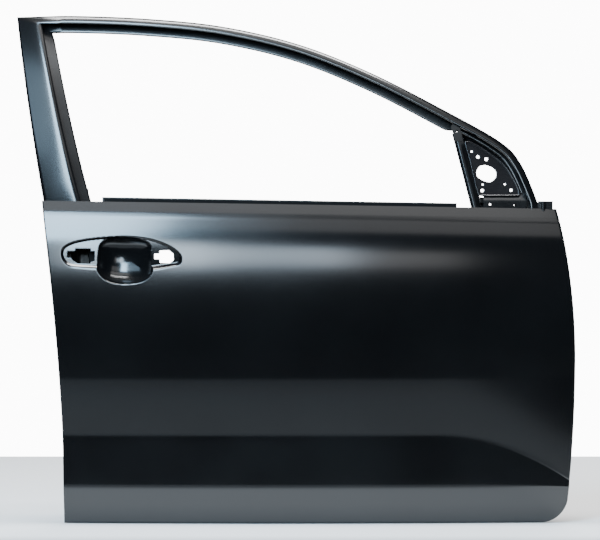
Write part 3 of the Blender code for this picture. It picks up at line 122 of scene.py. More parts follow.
# The skin is smooth enough to mirror the softboxes as bands with soft ends.
skin_coat = electrocoat("satin_electrocoat_skin", "#0a0a0b", "#0f1011", roughness=0.165, spread=0.015,
                        peel_mm=9.0, peel_height_mm=0.010, patch_mm=240.0)
# The mirror plate is drawn lighter and browner than the skin: the brown is its own tint, the lighter tone a
# painted sheen, as the lamps leave its face dark.
plate_sheen_coat = electrocoat("satin_electrocoat_mirror_plate_painted_sheen", "#171516", "#1e1c1d", roughness=0.19,
                         spread=0.015, peel_mm=9.0, peel_height_mm=0.010, patch_mm=120.0)
# Inner pressings are deep drawn, which roughens the steel and dulls what they mirror.
inner_coat = electrocoat("satin_electrocoat_pressings", "#0c0c0d", "#131415", roughness=0.25, spread=0.04,
                         peel_mm=6.0, peel_height_mm=0.016, patch_mm=90.0)
# Between the skins the coat is drawn darker, matt and weakly mirroring: painted shade for the dark cavity,
# so that it reads as plain black through a hole.
cavity_shade_coat = electrocoat("electrocoat_with_painted_cavity_shade", "#060607", "#0a0a0b", roughness=0.60,
                          spread=0.05, peel_mm=4.0, peel_height_mm=0.016, patch_mm=60.0, ior=1.22)
# Weld nuts are forged, so the coat sits greyer and more broken on them.
nut_coat = electrocoat("electrocoat_on_weld_nuts", "#18181a", "#262627", roughness=0.42, spread=0.06,
                       peel_mm=2.5, peel_height_mm=0.030, patch_mm=20.0)
print("coats", [m.name for m in (skin_coat, plate_sheen_coat, inner_coat, cavity_shade_coat, nut_coat)])


# %% [markdown]
# The pads between the impact beam and the skin are a baked foam sealer: matt,
# slightly grey and pitted.  One fine noise gives both the pits and their tone.

# %% The sealer material
def baked_sealer(name, pit_mm=1.8, pit_depth_mm=0.3):
    mat, tree, shader, where = new_material(name)
    shader.inputs["Roughness"].default_value = 0.8
    pits = add_node(tree, "ShaderNodeTexNoise", {"Scale": 1.0 / (pit_mm * MM), "Detail": 3.0},
                    {"Vector": where})
    tone = add_node(tree, "ShaderNodeValToRGB", links={"Fac": pits.outputs["Fac"]})
    for stop, colour in zip(tone.color_ramp.elements, ("#232324", "#3a3a3b")):
        stop.color = linear(colour)
    bump = add_node(tree, "ShaderNodeBump", {"Strength": 0.6, "Distance": pit_depth_mm * MM},
                    {"Height": pits.outputs["Fac"]})
    tree.links.new(tone.outputs["Color"], shader.inputs["Base Color"])
    tree.links.new(bump.outputs["Normal"], shader.inputs["Normal"])
    return mat


sealer = baked_sealer("baked_foam_sealer")
print("sealer", sealer.name)


# %% [markdown]
# The photograph was taken squarely from outside with a long lens.  The camera
# stands 5 m from the skin, level, and its axis passes through the middle of the
# picture.  The frame is 600 pixels wide and one pixel is 2.08 mm at the skin.

# %% Camera
PICTURE_WIDTH, PIXEL = 600, 0.00208
CAMERA_DISTANCE = 5.0
AXIS_X, AXIS_Z = -0.5366, 0.5315

camera_data = bpy.data.cameras.new("long_lens")
camera_data.sensor_fit = "HORIZONTAL"
camera_data.sensor_width = 36.0
camera_data.lens = camera_data.sensor_width * CAMERA_DISTANCE / (PICTURE_WIDTH * PIXEL)
camera = bpy.data.objects.new("camera", camera_data)
camera.location = Vector((AXIS_X, -CAMERA_DISTANCE, AXIS_Z)) + SHIFT
camera.rotation_euler = (math.radians(90.0), 0.0, 0.0)
bpy.context.scene.collection.objects.link(camera)
bpy.context.scene.camera = camera
print("lens %.1f mm" % camera_data.lens)


# %% [markdown]
# The door stands on a pale studio floor.  In front of the door its colour fades to grey, a painted shade,
# because the lowest strip of the skin tilts down and mirrors that part of it.

# %% Floor
FLOOR_Z = SHIFT.z - 0.0012
FLOOR_CENTRE_Y, FLOOR_HALF_X, FLOOR_HALF_Y = 0.45, 2.6, 1.35


def mesh_object(name, bm):
    """An object of its own from a bmesh, linked to the scene."""
    mesh = bpy.data.meshes.new(name)
    bm.to_mesh(mesh)
    bm.free()
    ob = bpy.data.objects.new(name, mesh)
    bpy.context.scene.collection.objects.link(ob)
    return ob


def floor_paint():
    mat, tree, shader, where = new_material("pale_floor_with_painted_shade")
    shader.inputs["Roughness"].default_value = 0.9
    depth = add_node(tree, "ShaderNodeSeparateXYZ", links={0: where}).outputs["Y"]
    # white behind, grey in front of the door: painted shade on the floor
    shade = add_node(tree, "ShaderNodeMapRange", {"From Min": -0.45, "From Max": -0.25},
                     {"Value": depth})
    tone = add_node(tree, "ShaderNodeValToRGB", links={"Fac": shade.outputs["Result"]})
    for stop, colour in zip(tone.color_ramp.elements, ("#7a7a7a", "#f6f6f6")):
        stop.color = linear(colour)
    tree.links.new(tone.outputs["Color"], shader.inputs["Base Color"])
    return mat


bm = bmesh.new()
bmesh.ops.create_grid(bm, x_segments=8, y_segments=8, size=1.0)
floor = mesh_object("pale_floor", bm)
floor.data.transform(Matrix.Translation((AXIS_X, FLOOR_CENTRE_Y, FLOOR_Z))
                     @ Matrix.Diagonal((FLOOR_HALF_X, FLOOR_HALF_Y, 1.0, 1.0)))
floor.data.materials.append(floor_paint())
print("floor at z = %.4f m" % FLOOR_Z)


# %% [markdown]
# A satin black panel shows the room more than its own colour, so each softbox is
# placed for the band that it draws on the door.  Low ones in front serve the window
# frame, which leans inwards, a tall one high on the left the shoulder, wide ones
# above the header and the belt strip, and one behind the back of the door.  The
# front ones are bluish like daylight.  A panel tilted up by an angle mirrors what
# stands at twice that angle, which is how their places were found.

# %% Lights
WHITE, COOL, SKY = (1.0, 1.0, 1.0), (0.70, 0.86, 1.0), (0.52, 0.77, 1.0)


def softbox(name, place, target, size, power, colour=WHITE):
    light = bpy.data.lights.new(name, "AREA")
    light.shape = "RECTANGLE"
    light.size, light.size_y = size
    light.energy = power
    light.color = colour
    ob = bpy.data.objects.new(name, light)
    ob.location = place
    ob.rotation_euler = (Vector(target) - Vector(place)).to_track_quat("-Z", "Y").to_euler()
    bpy.context.scene.collection.objects.link(ob)


softbox("low_softbox", (-1.37, -3.4, 0.92), (-1.0, 0.0, 0.10), (0.78, 0.84), 27.0, COOL)
softbox("low_fill", (-0.72, -3.5, 0.87), (-0.7, 0.0, 0.10), (1.0, 0.60), 17.5, COOL)
softbox("low_edge", (0.00, -3.5, 0.80), (-0.4, 0.0, 0.10), (0.8, 0.50), 2.2)
softbox("high_softbox", (-1.74, -3.05, 2.36), (-0.9, 0.0, 0.15), (1.0, 2.2), 245.0, SKY)
softbox("ceiling", (-0.7, -3.1, 3.05), (-0.6, 0.0, 0.15), (4.0, 1.4), 19.0)
softbox("left_fill", (-3.1, -2.7, 2.5), (-1.1, 0.0, 0.3), (1.4, 1.4), 21.0, SKY)
softbox("overhead", (-0.6, -1.55, 3.3), (-0.6, 0.0, 0.3), (3.0, 0.9), 16.0)
softbox("zenith", (-0.55, -0.30, 3.6), (-0.55, -0.30, 0.0), (2.4, 1.0), 260.0)
softbox("back_softbox", (0.6, 3.4, 2.0), (-0.6, 0.0, 0.0), (2.4, 1.6), 120.0)


# %% [markdown]
# The room itself stays dim, so that what mirrors no softbox is black.  The camera
# alone sees a plain white background, which a Light Path node tells apart.

# %% Room and background
ROOM_STRENGTH, BACKGROUND_STRENGTH = 0.05, 12.0
world = bpy.data.worlds.new("dim_room")
bpy.context.scene.world = world
world.use_nodes = True
tree = world.node_tree
tree.nodes.clear()
room = add_node(tree, "ShaderNodeBackground", {"Color": linear("#9aa0a6"), "Strength": ROOM_STRENGTH})
paper = add_node(tree, "ShaderNodeBackground",
                 {"Color": linear("#ffffff"), "Strength": BACKGROUND_STRENGTH})
seen = add_node(tree, "ShaderNodeLightPath")
mix = add_node(tree, "ShaderNodeMixShader",
               links={0: seen.outputs["Is Camera Ray"], 1: room.outputs[0], 2: paper.outputs[0]})
add_node(tree, "ShaderNodeOutputWorld", links={"Surface": mix.outputs[0]})
print("room", world.name)


# %% [markdown]
# The outer skin follows a few rules: a plan bow of 8 m radius, a side section with
# three creases, a belt line that falls forward, and curved ends.  The same rules
# and sizes as in the CAD source are written here, so that the finer mesh lies on
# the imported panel.  First come the sizes, in metres.

# %% Sizes of the skin
SKIN_GAUGE = 0.0008
BOW_CENTRE, BOW_RADIUS = -0.600, 8.0
BELT_REAR_X = -1.075
BELT_CREASE, BELT_STRIP = 0.655, 0.022
BELT_TOP = BELT_CREASE + BELT_STRIP
# the strip above the crease goes inwards by this much for each metre it rises
BELT_LEAN = 0.55
BELT_DROP = 0.017
BELT_BLEND_SHARE = 0.2693
FLARE_Z, VALLEY_Z, CHARACTER_Z = 0.075, 0.183, 0.306
VALLEY_DROP, VALLEY_DROP_START = 0.100, -0.250
BOTTOM_DEPTH, FLARE_DEPTH, VALLEY_DEPTH, CHARACTER_DEPTH = 0.042, 0.026, 0.031, 0.0125
SHOULDER = ((0.0, CHARACTER_DEPTH), (0.2693, 0.0030), (0.4986, 0.0), (0.6848, 0.0022),
            (0.8424, 0.0090), (0.9570, 0.0200), (1.0, 0.0265))
REAR_X, REAR_SWEEP = -1.032, 0.047
FRONT_X, FRONT_WIDEST_Z = 0.040, 0.330
FRONT_CURVE_ABOVE, FRONT_CURVE_BELOW = 0.34, 0.175
CORNER_R = 0.057
GLASS_BELT_Y, GLASS_BELT_Z = 0.060, BELT_CREASE + 0.018
GLASS_LEAN, GLASS_RADIUS = 0.14, 1.30
print("skin is %.0f mm high at the rear" % (1000 * BELT_TOP))


# %% [markdown]
# Heights and depths between given points are blended: evenly, with soft ends, or
# along a smooth curve through all of them (Catmull-Rom slopes in a cubic piece).

# %% Blending helpers
def lerp(a, b, t):
    return a + (b - a) * t


def clamp(t, low=0.0, high=1.0):
    return max(low, min(high, t))


def smooth(t):
    t = clamp(t)
    return t * t * (3.0 - 2.0 * t)


def through(points, value):
    """Smooth height through (position, height) pairs, Catmull-Rom slopes."""
    last = len(points) - 1
    value = clamp(value, points[0][0], points[last][0])
    i = 0
    while i < last - 1 and value > points[i + 1][0]:
        i += 1

    def slope(k):
        a, b = points[max(k - 1, 0)], points[min(k + 1, last)]
        return (b[1] - a[1]) / (b[0] - a[0])

    p, q = points[i], points[i + 1]
    width = q[0] - p[0]
    t = (value - p[0]) / width
    return ((1 + 2 * t) * (1 - t) ** 2 * p[1] + t * (1 - t) ** 2 * width * slope(i)
            + t * t * (3 - 2 * t) * q[1] + t * t * (t - 1) * width * slope(i + 1))


print("half way up the shoulder the skin lies %.1f mm deep" % (1000 * through(SHOULDER, 0.5)))


# %% [markdown]
# The side section is one depth for each height: flare, valley, character line,
# shoulder, and the strip above the belt crease, which leans inwards.  A press tool
# has no sharp edge, so close to a crease the depth is an average over its width.
# The belt line falls towards the front and the valley runs out there.

# %% Rules of the skin surface
def bow(x):
    return (x - BOW_CENTRE) ** 2 / (2.0 * BOW_RADIUS)


def valley_reach(x):
    return clamp((x - VALLEY_DROP_START) / (FRONT_X - VALLEY_DROP_START)) ** 2.1


def belt_share(s):
    return (s - CHARACTER_Z) / (BELT_CREASE - CHARACTER_Z)


def sharp_section(s, x):
    valley = lerp(VALLEY_DEPTH, FLARE_DEPTH + 0.0003, valley_reach(x))
    if s < FLARE_Z:
        return lerp(BOTTOM_DEPTH, FLARE_DEPTH, max(s, 0.0) / FLARE_Z)
    if s < VALLEY_Z:
        return lerp(FLARE_DEPTH, valley, (s - FLARE_Z) / (VALLEY_Z - FLARE_Z))
    if s < CHARACTER_Z:
        return lerp(valley, CHARACTER_DEPTH, (s - VALLEY_Z) / (CHARACTER_Z - VALLEY_Z))
    if s < BELT_CREASE:
        return through(SHOULDER, belt_share(s))
    return SHOULDER[-1][1] + BELT_LEAN * (s - BELT_CREASE)


def crease_width(s):
    """Half the height over which a pressed crease is rounded."""
    if s > BELT_CREASE - 0.02:
        return 0.0022
    return 0.0040 if s > 0.5 * (VALLEY_Z + CHARACTER_Z) else 0.0090


def section(s, x):
    w = crease_width(s)
    if w < 0.004 or min(abs(s - line) for line in (FLARE_Z, VALLEY_Z, CHARACTER_Z)) < w:
        return sum(sharp_section(s + w * k / 3.0, x) for k in range(-3, 4)) / 7.0
    return sharp_section(s, x)


def row_height(s, x):
    forward = (x - BELT_REAR_X) / -BELT_REAR_X
    rise = clamp((belt_share(s) - BELT_BLEND_SHARE) / (1.0 - BELT_BLEND_SHARE))
    z = s - BELT_DROP * forward * rise * rise
    if FLARE_Z < s < CHARACTER_Z and x > VALLEY_DROP_START:
        if s < VALLEY_Z:
            share = (s - FLARE_Z) / (VALLEY_Z - FLARE_Z)
        else:
            share = (CHARACTER_Z - s) / (CHARACTER_Z - VALLEY_Z)
        z -= VALLEY_DROP * valley_reach(x) * share
    return z


def row_at(x, z):
    """The row of the skin that passes a height z, found by steps."""
    s = z
    for _ in range(24):
        s += 0.8 * (z - row_height(s, x))
    return s


def skin_y(x, z):
    return section(row_at(x, z), x) + bow(x)


def glass_y(x, z):
    h = z - GLASS_BELT_Z + BELT_DROP * (x - BELT_REAR_X) / -BELT_REAR_X
    return GLASS_BELT_Y + GLASS_LEAN * h + h * h / (2.0 * GLASS_RADIUS) + bow(x)


print("skin depth at the shoulder %.1f mm" % (1000 * skin_y(-0.6, 0.64)))


# %% [markdown]
# The ends of the skin: the rear edge sweeps back as it rises, the front edge is
# widest at a third of its height, and a round corner closes the front bottom.

# %% Edges of the skin
REAR_SWEEP_HEIGHT, REAR_SWEEP_POWER = 0.676, 2.2


def rear_x(z):
    return REAR_X - REAR_SWEEP * (max(z, 0.0) / REAR_SWEEP_HEIGHT) ** REAR_SWEEP_POWER


def front_side(z):
    curve = FRONT_CURVE_ABOVE if z > FRONT_WIDEST_Z else FRONT_CURVE_BELOW
    return FRONT_X - curve * (z - FRONT_WIDEST_Z) ** 2


CORNER_X = front_side(CORNER_R) - CORNER_R


def front_x(z):
    if z >= CORNER_R:
        return front_side(z)
    return CORNER_X + math.sqrt(max(CORNER_R ** 2 - (CORNER_R - z) ** 2, 0.0))


def rear_edge(s, inset=0.0):
    """Place (x, z) where row s ends at the rear, moved inwards by inset."""
    x = rear_x(s)
    z = row_height(s, x)
    if z < CORNER_R:
        z += inset * (1.0 - z / CORNER_R)
    return rear_x(z if inset == 0.0 else row_height(s, x)) + inset, z


def front_edge(s, inset=0.0):
    """The same at the front, where the lowest rows end on the round corner."""
    x = front_x(s)
    z = row_height(s, x)
    x = front_x(z)
    if z < CORNER_R - 1e-6:
        radius = CORNER_R - inset
        across = (x - CORNER_X) / CORNER_R
        down = (CORNER_R - z) / CORNER_R
        return CORNER_X + radius * across, CORNER_R - radius * down
    return x - inset, row_height(s, x - inset)


def bottom_edge(u, inset=0.0):
    """Place (x, z) at a share u of the straight bottom edge."""
    start = rear_x(0.0)
    x = lerp(start, CORNER_X, u)
    x += inset * max(0.0, 1.0 - (x - start) / CORNER_R)
    return x, inset


EDGE = {"rear": rear_edge, "bottom": bottom_edge, "front": front_edge}


def edge_path(rows, columns):
    """Stations down the rear edge, along the bottom and up the front edge."""
    path = [("rear", s) for s in reversed(rows)]
    path += [("bottom", u) for u in columns[1:-1]]
    return path + [("front", s) for s in rows]


print("door is %.0f mm long at the belt" % (1000 * (front_x(0.65) - rear_x(0.65))))


# %% [markdown]
# A pressing is a thin sheet, so every piece is built as one surface of quads and
# given its gauge later.  This helper joins rows of points and welds the seams.

# %% Surfaces from rows of points
SEAM = 0.000004


def quads(rows, columns, start=0, wrap=False):
    faces = []
    for r in range(rows - 1):
        for c in range(columns if wrap else columns - 1):
            a = start + r * columns + c
            b = start + r * columns + (c + 1) % columns
            faces.append((a, b, b + columns, a + columns))
    return faces


def surface(grids, wrap=False):
    """A bmesh of one or more grids of points, welded where they meet."""
    points, faces = [], []
    for rows in grids:
        faces += quads(len(rows), len(rows[0]), len(points), wrap)
        points += [p for row in rows for p in row]
    mesh = bpy.data.meshes.new("surface")
    mesh.from_pydata([Vector(p) + SHIFT for p in points], [], faces)
    bm = bmesh.new()
    bm.from_mesh(mesh)
    bpy.data.meshes.remove(mesh)
    bmesh.ops.remove_doubles(bm, verts=bm.verts, dist=SEAM)
    return bm


print("a strip of 3 by 4 points has", len(quads(3, 4)), "quads")


# %% [markdown]
# Holes in a fine mesh need no boolean: the quads inside an outline are deleted and
# the rim that is left is pulled onto the outline.

# %% Holes in a fine sheet
def inside(outline, x, z):
    hit = False
    for (x0, z0), (x1, z1) in zip(outline, outline[1:] + outline[:1]):
        if (z0 > z) != (z1 > z) and x < (x1 - x0) * (z - z0) / (z1 - z0) + x0:
            hit = not hit
    return hit


def nearest_on(outline, x, z):
    best, place = 1e9, (x, z)
    for (x0, z0), (x1, z1) in zip(outline, outline[1:] + outline[:1]):
        dx, dz = x1 - x0, z1 - z0
        t = clamp(((x - x0) * dx + (z - z0) * dz) / max(dx * dx + dz * dz, 1e-12))
        px, pz = x0 + t * dx, z0 + t * dz
        far = (px - x) ** 2 + (pz - z) ** 2
        if far < best:
            best, place = far, (px, pz)
    return place


def punch(bm, outline):
    """Cut an (x, z) outline, in drawing places, through a sheet that faces outboard."""
    shifted = [(x + SHIFT.x, z + SHIFT.z) for x, z in outline]
    low_x, high_x = min(p[0] for p in shifted), max(p[0] for p in shifted)
    low_z, high_z = min(p[1] for p in shifted), max(p[1] for p in shifted)
    doomed = []
    for f in bm.faces:
        c = f.calc_center_median()
        if low_x < c.x < high_x and low_z < c.z < high_z and inside(shifted, c.x, c.z):
            doomed.append(f)
    rim = {v for f in doomed for v in f.verts if any(g not in doomed for g in v.link_faces)}
    bmesh.ops.delete(bm, geom=doomed, context="FACES")
    for v in rim:
        if v.is_valid:
            v.co.x, v.co.z = nearest_on(shifted, v.co.x, v.co.z)
    return len(rim)


print("a point beside a unit square moves to", nearest_on([(0, 0), (1, 0), (1, 1), (0, 1)], 1.2, 0.5))


# %% [markdown]
# Every sheet is finished alike: normals outwards, Solidify for the gauge, booleans
# for what is punched, all baked into a plain mesh, then finish, body and slot.

# %% Finish of a pressing
def pressing(name, bm, gauge, coat, replaced=(), angle=35.0, cutters=(), even=True):
    """Finish a sheet: gauge, holes, shading, finish and its place in the frame."""
    bmesh.ops.recalc_face_normals(bm, faces=bm.faces)
    ob = mesh_object(name, bm)
    mesh = ob.data
    solid = ob.modifiers.new("gauge", "SOLIDIFY")
    solid.thickness, solid.offset = gauge, 0.0
    solid.use_even_offset = even
    for tool in cutters:
        cut = ob.modifiers.new(tool.name, "BOOLEAN")
        cut.operation, cut.solver, cut.object = "DIFFERENCE", "EXACT", tool
    view = bpy.context.evaluated_depsgraph_get()
    baked = bpy.data.meshes.new_from_object(ob.evaluated_get(view))
    ob.modifiers.clear()
    ob.data = baked
    bpy.data.meshes.remove(mesh)
    baked.name = name
    baked.shade_smooth()
    baked.set_sharp_from_angle(angle=math.radians(angle))
    baked.materials.clear()
    baked.materials.append(coat)
    for tool in cutters:
        bpy.data.objects.remove(tool, do_unlink=True)
    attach(ob, BODY)
    if replaced:
        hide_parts(*replaced)
    print("%s: %d triangles" % (name, sum(len(p.vertices) - 2 for p in baked.polygons)))


print("pressings ride on", BODY)


# %% [markdown]
# The handle recess is a pressed hollow with two shallow wings and a deep cup for
# the fingers.  Wing and cup each have a closed outline, and two holes are punched
# in the wings for the lock and the pivot of the handle.  All points are measured
# from the middle of the handle's sill.

# %% Outlines of the handle recess
HANDLE_X, HANDLE_SILL_Z = -0.909, BELT_CREASE - 0.122
WING_DEPTH, CUP_DEPTH = 0.0085, 0.036


def at_handle(points):
    return [(HANDLE_X + dx, HANDLE_SILL_Z + dz) for dx, dz in points]


WING_LINE = at_handle(((-0.1250, 0.0330), (-0.1200, 0.0460), (-0.0990, 0.0565), (-0.0555, 0.0642),
                       (0.0070, 0.0680), (0.0590, 0.0630), (0.0973, 0.0496), (0.1200, 0.0330),
                       (0.1248, 0.0190), (0.1200, 0.0095), (0.1040, 0.0055), (0.0640, -0.0015),
                       (0.0070, -0.0050), (-0.0510, 0.0000), (-0.0863, 0.0027), (-0.1073, 0.0062),
                       (-0.1200, 0.0170)))
CUP_LINE = at_handle(((-0.0520, 0.0120), (-0.0470, -0.0060), (-0.0340, -0.0200), (-0.0160, -0.0280),
                      (0.0070, -0.0302), (0.0300, -0.0285), (0.0490, -0.0225), (0.0620, -0.0100),
                      (0.0660, 0.0090), (0.0620, 0.0370), (0.0490, 0.0560), (0.0090, 0.0630),
                      (-0.0330, 0.0600), (-0.0490, 0.0390)))
LOCK_HOLE = at_handle(((-0.1145, 0.0382), (-0.0979, 0.0382), (-0.0979, 0.0436), (-0.0644, 0.0436),
                       (-0.0644, 0.0382), (-0.0560, 0.0382), (-0.0560, 0.0173), (-0.0644, 0.0150),
                       (-0.0655, 0.0117), (-0.0913, 0.0117), (-0.1030, 0.0190), (-0.1060, 0.0236),
                       (-0.1145, 0.0236)))
PIVOT_HOLE = at_handle(((0.0685, 0.0325), (0.0791, 0.0325), (0.0800, 0.0392), (0.0990, 0.0396),
                        (0.1084, 0.0319), (0.1089, 0.0194), (0.1012, 0.0131), (0.0800, 0.0135),
                        (0.0791, 0.0214), (0.0685, 0.0214)))


def catmull_rom(p0, p1, p2, p3, f):
    """The curve from p1 to p2 whose ends point along p0-p2 and p1-p3."""
    return 0.5 * (2 * p1 + (p2 - p0) * f + (2 * p0 - 5 * p1 + 4 * p2 - p3) * f * f
                  + (3 * p1 - p0 - 3 * p2 + p3) * f ** 3)


def closed_spline(points, count):
    n = len(points)
    out = []
    for k in range(count):
        f = k * n / count
        i = int(f)
        p = catmull_rom(*(Vector(points[(i + j - 1) % n]) for j in range(4)), f - i)
        out.append((p.x, p.y))
    return out


WING_CURVE = np.array(closed_spline(WING_LINE, 120))
CUP_CURVE = np.array(closed_spline(CUP_LINE, 96))
print("recess is %.0f mm long" % (1000 * (WING_CURVE[:, 0].max() - WING_CURVE[:, 0].min())))


# %% [markdown]
# The depth of the recess is a function of the distance to the two outlines, so a
# fine patch of the skin's own grid can simply be pushed inwards by it, and the
# rims come out rounded as a press tool leaves them.  The wing behind the cup gets
# deeper upwards and the one in front of it shallower, and the cup is a bowl.

# %% Depth of the handle recess
def depth_inside(curve, x, z):
    """Distance to a closed curve, positive inside it."""
    a, b = curve, np.roll(curve, -1, axis=0)
    d = b - a
    t = np.clip(((x - a[:, 0]) * d[:, 0] + (z - a[:, 1]) * d[:, 1]) / (d ** 2).sum(1), 0.0, 1.0)
    far = np.hypot(a[:, 0] + t * d[:, 0] - x, a[:, 1] + t * d[:, 1] - z).min()
    over = (a[:, 1] > z) != (b[:, 1] > z)
    with np.errstate(divide="ignore", invalid="ignore"):
        cross = x < (b[:, 0] - a[:, 0]) * (z - a[:, 1]) / (b[:, 1] - a[:, 1]) + a[:, 0]
    return far if (over & cross).sum() % 2 else -far


# heights are measured from the sill, the level of the wings' lower edge
CUP_DEEPEST = (HANDLE_X - 0.001, HANDLE_SILL_Z + 0.022)
WING_HEIGHT, WING_RIM = 0.060, 0.0020
SILL_RAMP, TOP_RAMP = 0.0130, 0.0048
# share of the wing's depth at the sill and at the top
REAR_WING, FRONT_WING = (0.62, 1.00), (1.30, 0.50)
CUP_RIM, CUP_OVER_WING, CUP_RAMP = 0.0022, 0.0042, 0.0040
# the bowl is wider than high; its floor is round and its sides are steep
CUP_STRETCH, CUP_ROUND, CUP_FULL = 0.85, 2.1, 0.72
CUP_BLEND = 0.0030


def recess_depth(x, z):
    wing = depth_inside(WING_CURVE, x, z)
    up = clamp((z - HANDLE_SILL_Z) / WING_HEIGHT)
    ramp = lerp(SILL_RAMP, TOP_RAMP, smooth(up * 2.2))
    share = lerp(lerp(*REAR_WING, up), lerp(*FRONT_WING, up), smooth((x - HANDLE_X) / 0.030))
    shallow = WING_DEPTH * share * smooth((wing + WING_RIM) / ramp)
    # The scoop rises over the wing's edge at its top and has no flat floor.
    cup = depth_inside(CUP_CURVE, x, z) + CUP_RIM
    cup += CUP_OVER_WING * smooth((z - HANDLE_SILL_Z - 0.030) / 0.022)
    if cup <= 0.0:
        return shallow
    away = math.hypot(x - CUP_DEEPEST[0], CUP_STRETCH * (z - CUP_DEEPEST[1]))
    r = away / (away + cup)
    bowl = CUP_DEPTH * (1.0 - r ** CUP_ROUND) ** CUP_FULL * smooth(cup / CUP_RAMP)
    return lerp(shallow, bowl, smooth((bowl - shallow) / CUP_BLEND + 0.5))


print("cup depth %.1f mm" % (1000 * recess_depth(HANDLE_X, 0.550)))


# %% [markdown]
# The grid of the skin has closer rows at each crease, wide ones between, and finer
# rows and columns over the recess, where it is subdivided once more.

# %% Grid of the skin
PATCH, PATCH_CUTS = 0.0045, 3
RECESS_BOX = (-1.046, -0.772, 0.486, 0.606)
PATCH_LOW, PATCH_HIGH = 0.485, 0.607


def span(start, stop, step):
    """Even places from start up to, but without, stop."""
    count = max(1, round((stop - start) / step))
    return [lerp(start, stop, i / count) for i in range(count)]


def corner_rows():
    """Rows that close up towards the bottom, as the round corner needs."""
    return [CORNER_R * (1.0 - math.cos(math.radians(90.0 * i / 10))) for i in range(10)]


def skin_rows():
    rows = corner_rows()
    rows += span(CORNER_R, FLARE_Z - 0.009, 0.005)
    start = FLARE_Z - 0.009
    for crease, half in ((FLARE_Z, 0.009), (VALLEY_Z, 0.009), (CHARACTER_Z, 0.006)):
        rows += span(start, crease - half, 0.008) if start < crease - half else []
        rows += span(crease - half, crease + half, 0.0022)
        start = crease + half
    rows += span(start, PATCH_LOW, 0.008)
    rows += span(PATCH_LOW, PATCH_HIGH, PATCH)
    rows += span(PATCH_HIGH, BELT_CREASE - 0.004, 0.0035)
    rows += span(BELT_CREASE - 0.004, BELT_TOP, 0.0016)
    return rows + [BELT_TOP]


def skin_columns():
    columns = [0.0, 0.003, 0.007, 0.012]
    columns += span(0.017, 0.267, PATCH / 1.085)
    columns += span(0.267, 0.900, 0.0135)
    return columns + [0.90, 0.92, 0.94, 0.955, 0.97, 0.98, 0.988, 0.995, 1.0]


ROWS, COLUMNS = skin_rows(), skin_columns()
print("skin grid %d x %d" % (len(ROWS), len(COLUMNS)))


# %% [markdown]
# The rim of the skin is folded back over the inner panel on three sides, as a hem:
# out to the edge, round, and 11 mm inwards behind the sheet.  The grid and the hem
# share the points of the rim, the recess is pushed in, and the holes are punched.

# %% Outer skin
FIT = 0.0004
HEM_WIDTH, HEM_ROUND = 0.011, 0.0010
HEM_STACK = 2 * (SKIN_GAUGE + FIT)


def skin_point(x, s):
    return x, section(s, x) + bow(x) + SKIN_GAUGE / 2, row_height(s, x)


def hem_point(station, inset, lift):
    side, value = station
    x, z = EDGE[side](value, inset)
    if side == "bottom":
        s = z
    else:
        s = value if value > CORNER_R else row_at(x, z)
    return x, section(s, x) + bow(x) + SKIN_GAUGE / 2 + lift, z


path = edge_path(ROWS, COLUMNS)
border = [hem_point(station, HEM_ROUND, 0.0) for station in path]
sheet = []
for s in ROWS:
    rear, front = rear_edge(s)[0], front_edge(s)[0]
    sheet.append([skin_point(lerp(rear, front, u), s) for u in COLUMNS])
count = len(ROWS)
for i, p in enumerate(border):
    if i < count:
        sheet[count - 1 - i][0] = p
    elif i < len(border) - count:
        sheet[0][i - count + 1] = p
    else:
        sheet[i - (len(border) - count)][-1] = p
hem_steps = ((HEM_ROUND, 0.0), (0.0003, 0.12), (0.0, 0.35), (0.0, 0.65), (0.0003, 0.88),
             (HEM_ROUND, 1.0), (HEM_WIDTH * 0.5, 1.0), (HEM_WIDTH, 1.0))
hem = [[hem_point(station, inset, HEM_STACK * lift) for station in path] for inset, lift in hem_steps]
bm = surface([sheet, hem])


def in_recess(v):
    x, z = v.co.x - SHIFT.x, v.co.z - SHIFT.z
    return RECESS_BOX[0] < x < RECESS_BOX[1] and RECESS_BOX[2] < z < RECESS_BOX[3]


patch = [e for e in bm.edges if all(in_recess(v) for v in e.verts)]
bmesh.ops.subdivide_edges(bm, edges=patch, cuts=PATCH_CUTS, use_grid_fill=True)
for v in bm.verts:
    if in_recess(v):
        x, z = v.co.x - SHIFT.x, v.co.z - SHIFT.z
        v.co.y = skin_y(x, z) + SKIN_GAUGE / 2 + recess_depth(x, z) + SHIFT.y
print("holes", punch(bm, LOCK_HOLE), punch(bm, PIVOT_HOLE))
pressing("outer_skin", bm, SKIN_GAUGE, skin_coat, ["outer_panel"], 50.0, even=False)


# %% [markdown]
# The window frame is two pressings clinched together.  The outer one has the
# crowned face that catches the light; the inner one forms the box behind it and
# the lip that the door seal grips.  Both are one section carried up the rear
# pillar, round a mitre and along the header, so the section is drawn as a line
# with rounded bends and swept through many stations.

# %% Sizes of the window frame
FRAME_GAUGE = 0.0010
PILLAR_FOOT = (-1.0755, BELT_CREASE + 0.009)
PILLAR_HEAD = (-1.1482, BELT_CREASE + 0.423)
PILLAR_BULGE = 0.0018
PILLAR_FACE_FOOT, PILLAR_FACE_HEAD = 0.082, 0.052
HEADER_FACE = 0.0175
LIP_OVERLAP = 0.019
FACE_OUT, FRAME_DEPTH, LIP_IN = 0.016, 0.036, 0.024


def above_belt(points):
    return [(p[0], BELT_CREASE + p[1], *p[2:]) for p in points]


HEADER_LINE = above_belt(((-1.1482, 0.4230), (-1.0200, 0.4247), (-0.8590, 0.4172), (-0.7000, 0.3993),
                          (-0.5370, 0.3593), (-0.3800, 0.2950), (-0.2185, 0.2105), (-0.1130, 0.1495),
                          (-0.0710, 0.1050), (-0.0385, 0.0300), (-0.0335, 0.0030)))
print("frame rises %.0f mm over the belt" % (1000 * (PILLAR_HEAD[1] - BELT_CREASE)))


# %% [markdown]
# The frame follows two lines: the rear pillar, which leans back with a slight bulge
# and narrows upwards, and the header, a curve through points of the photograph.

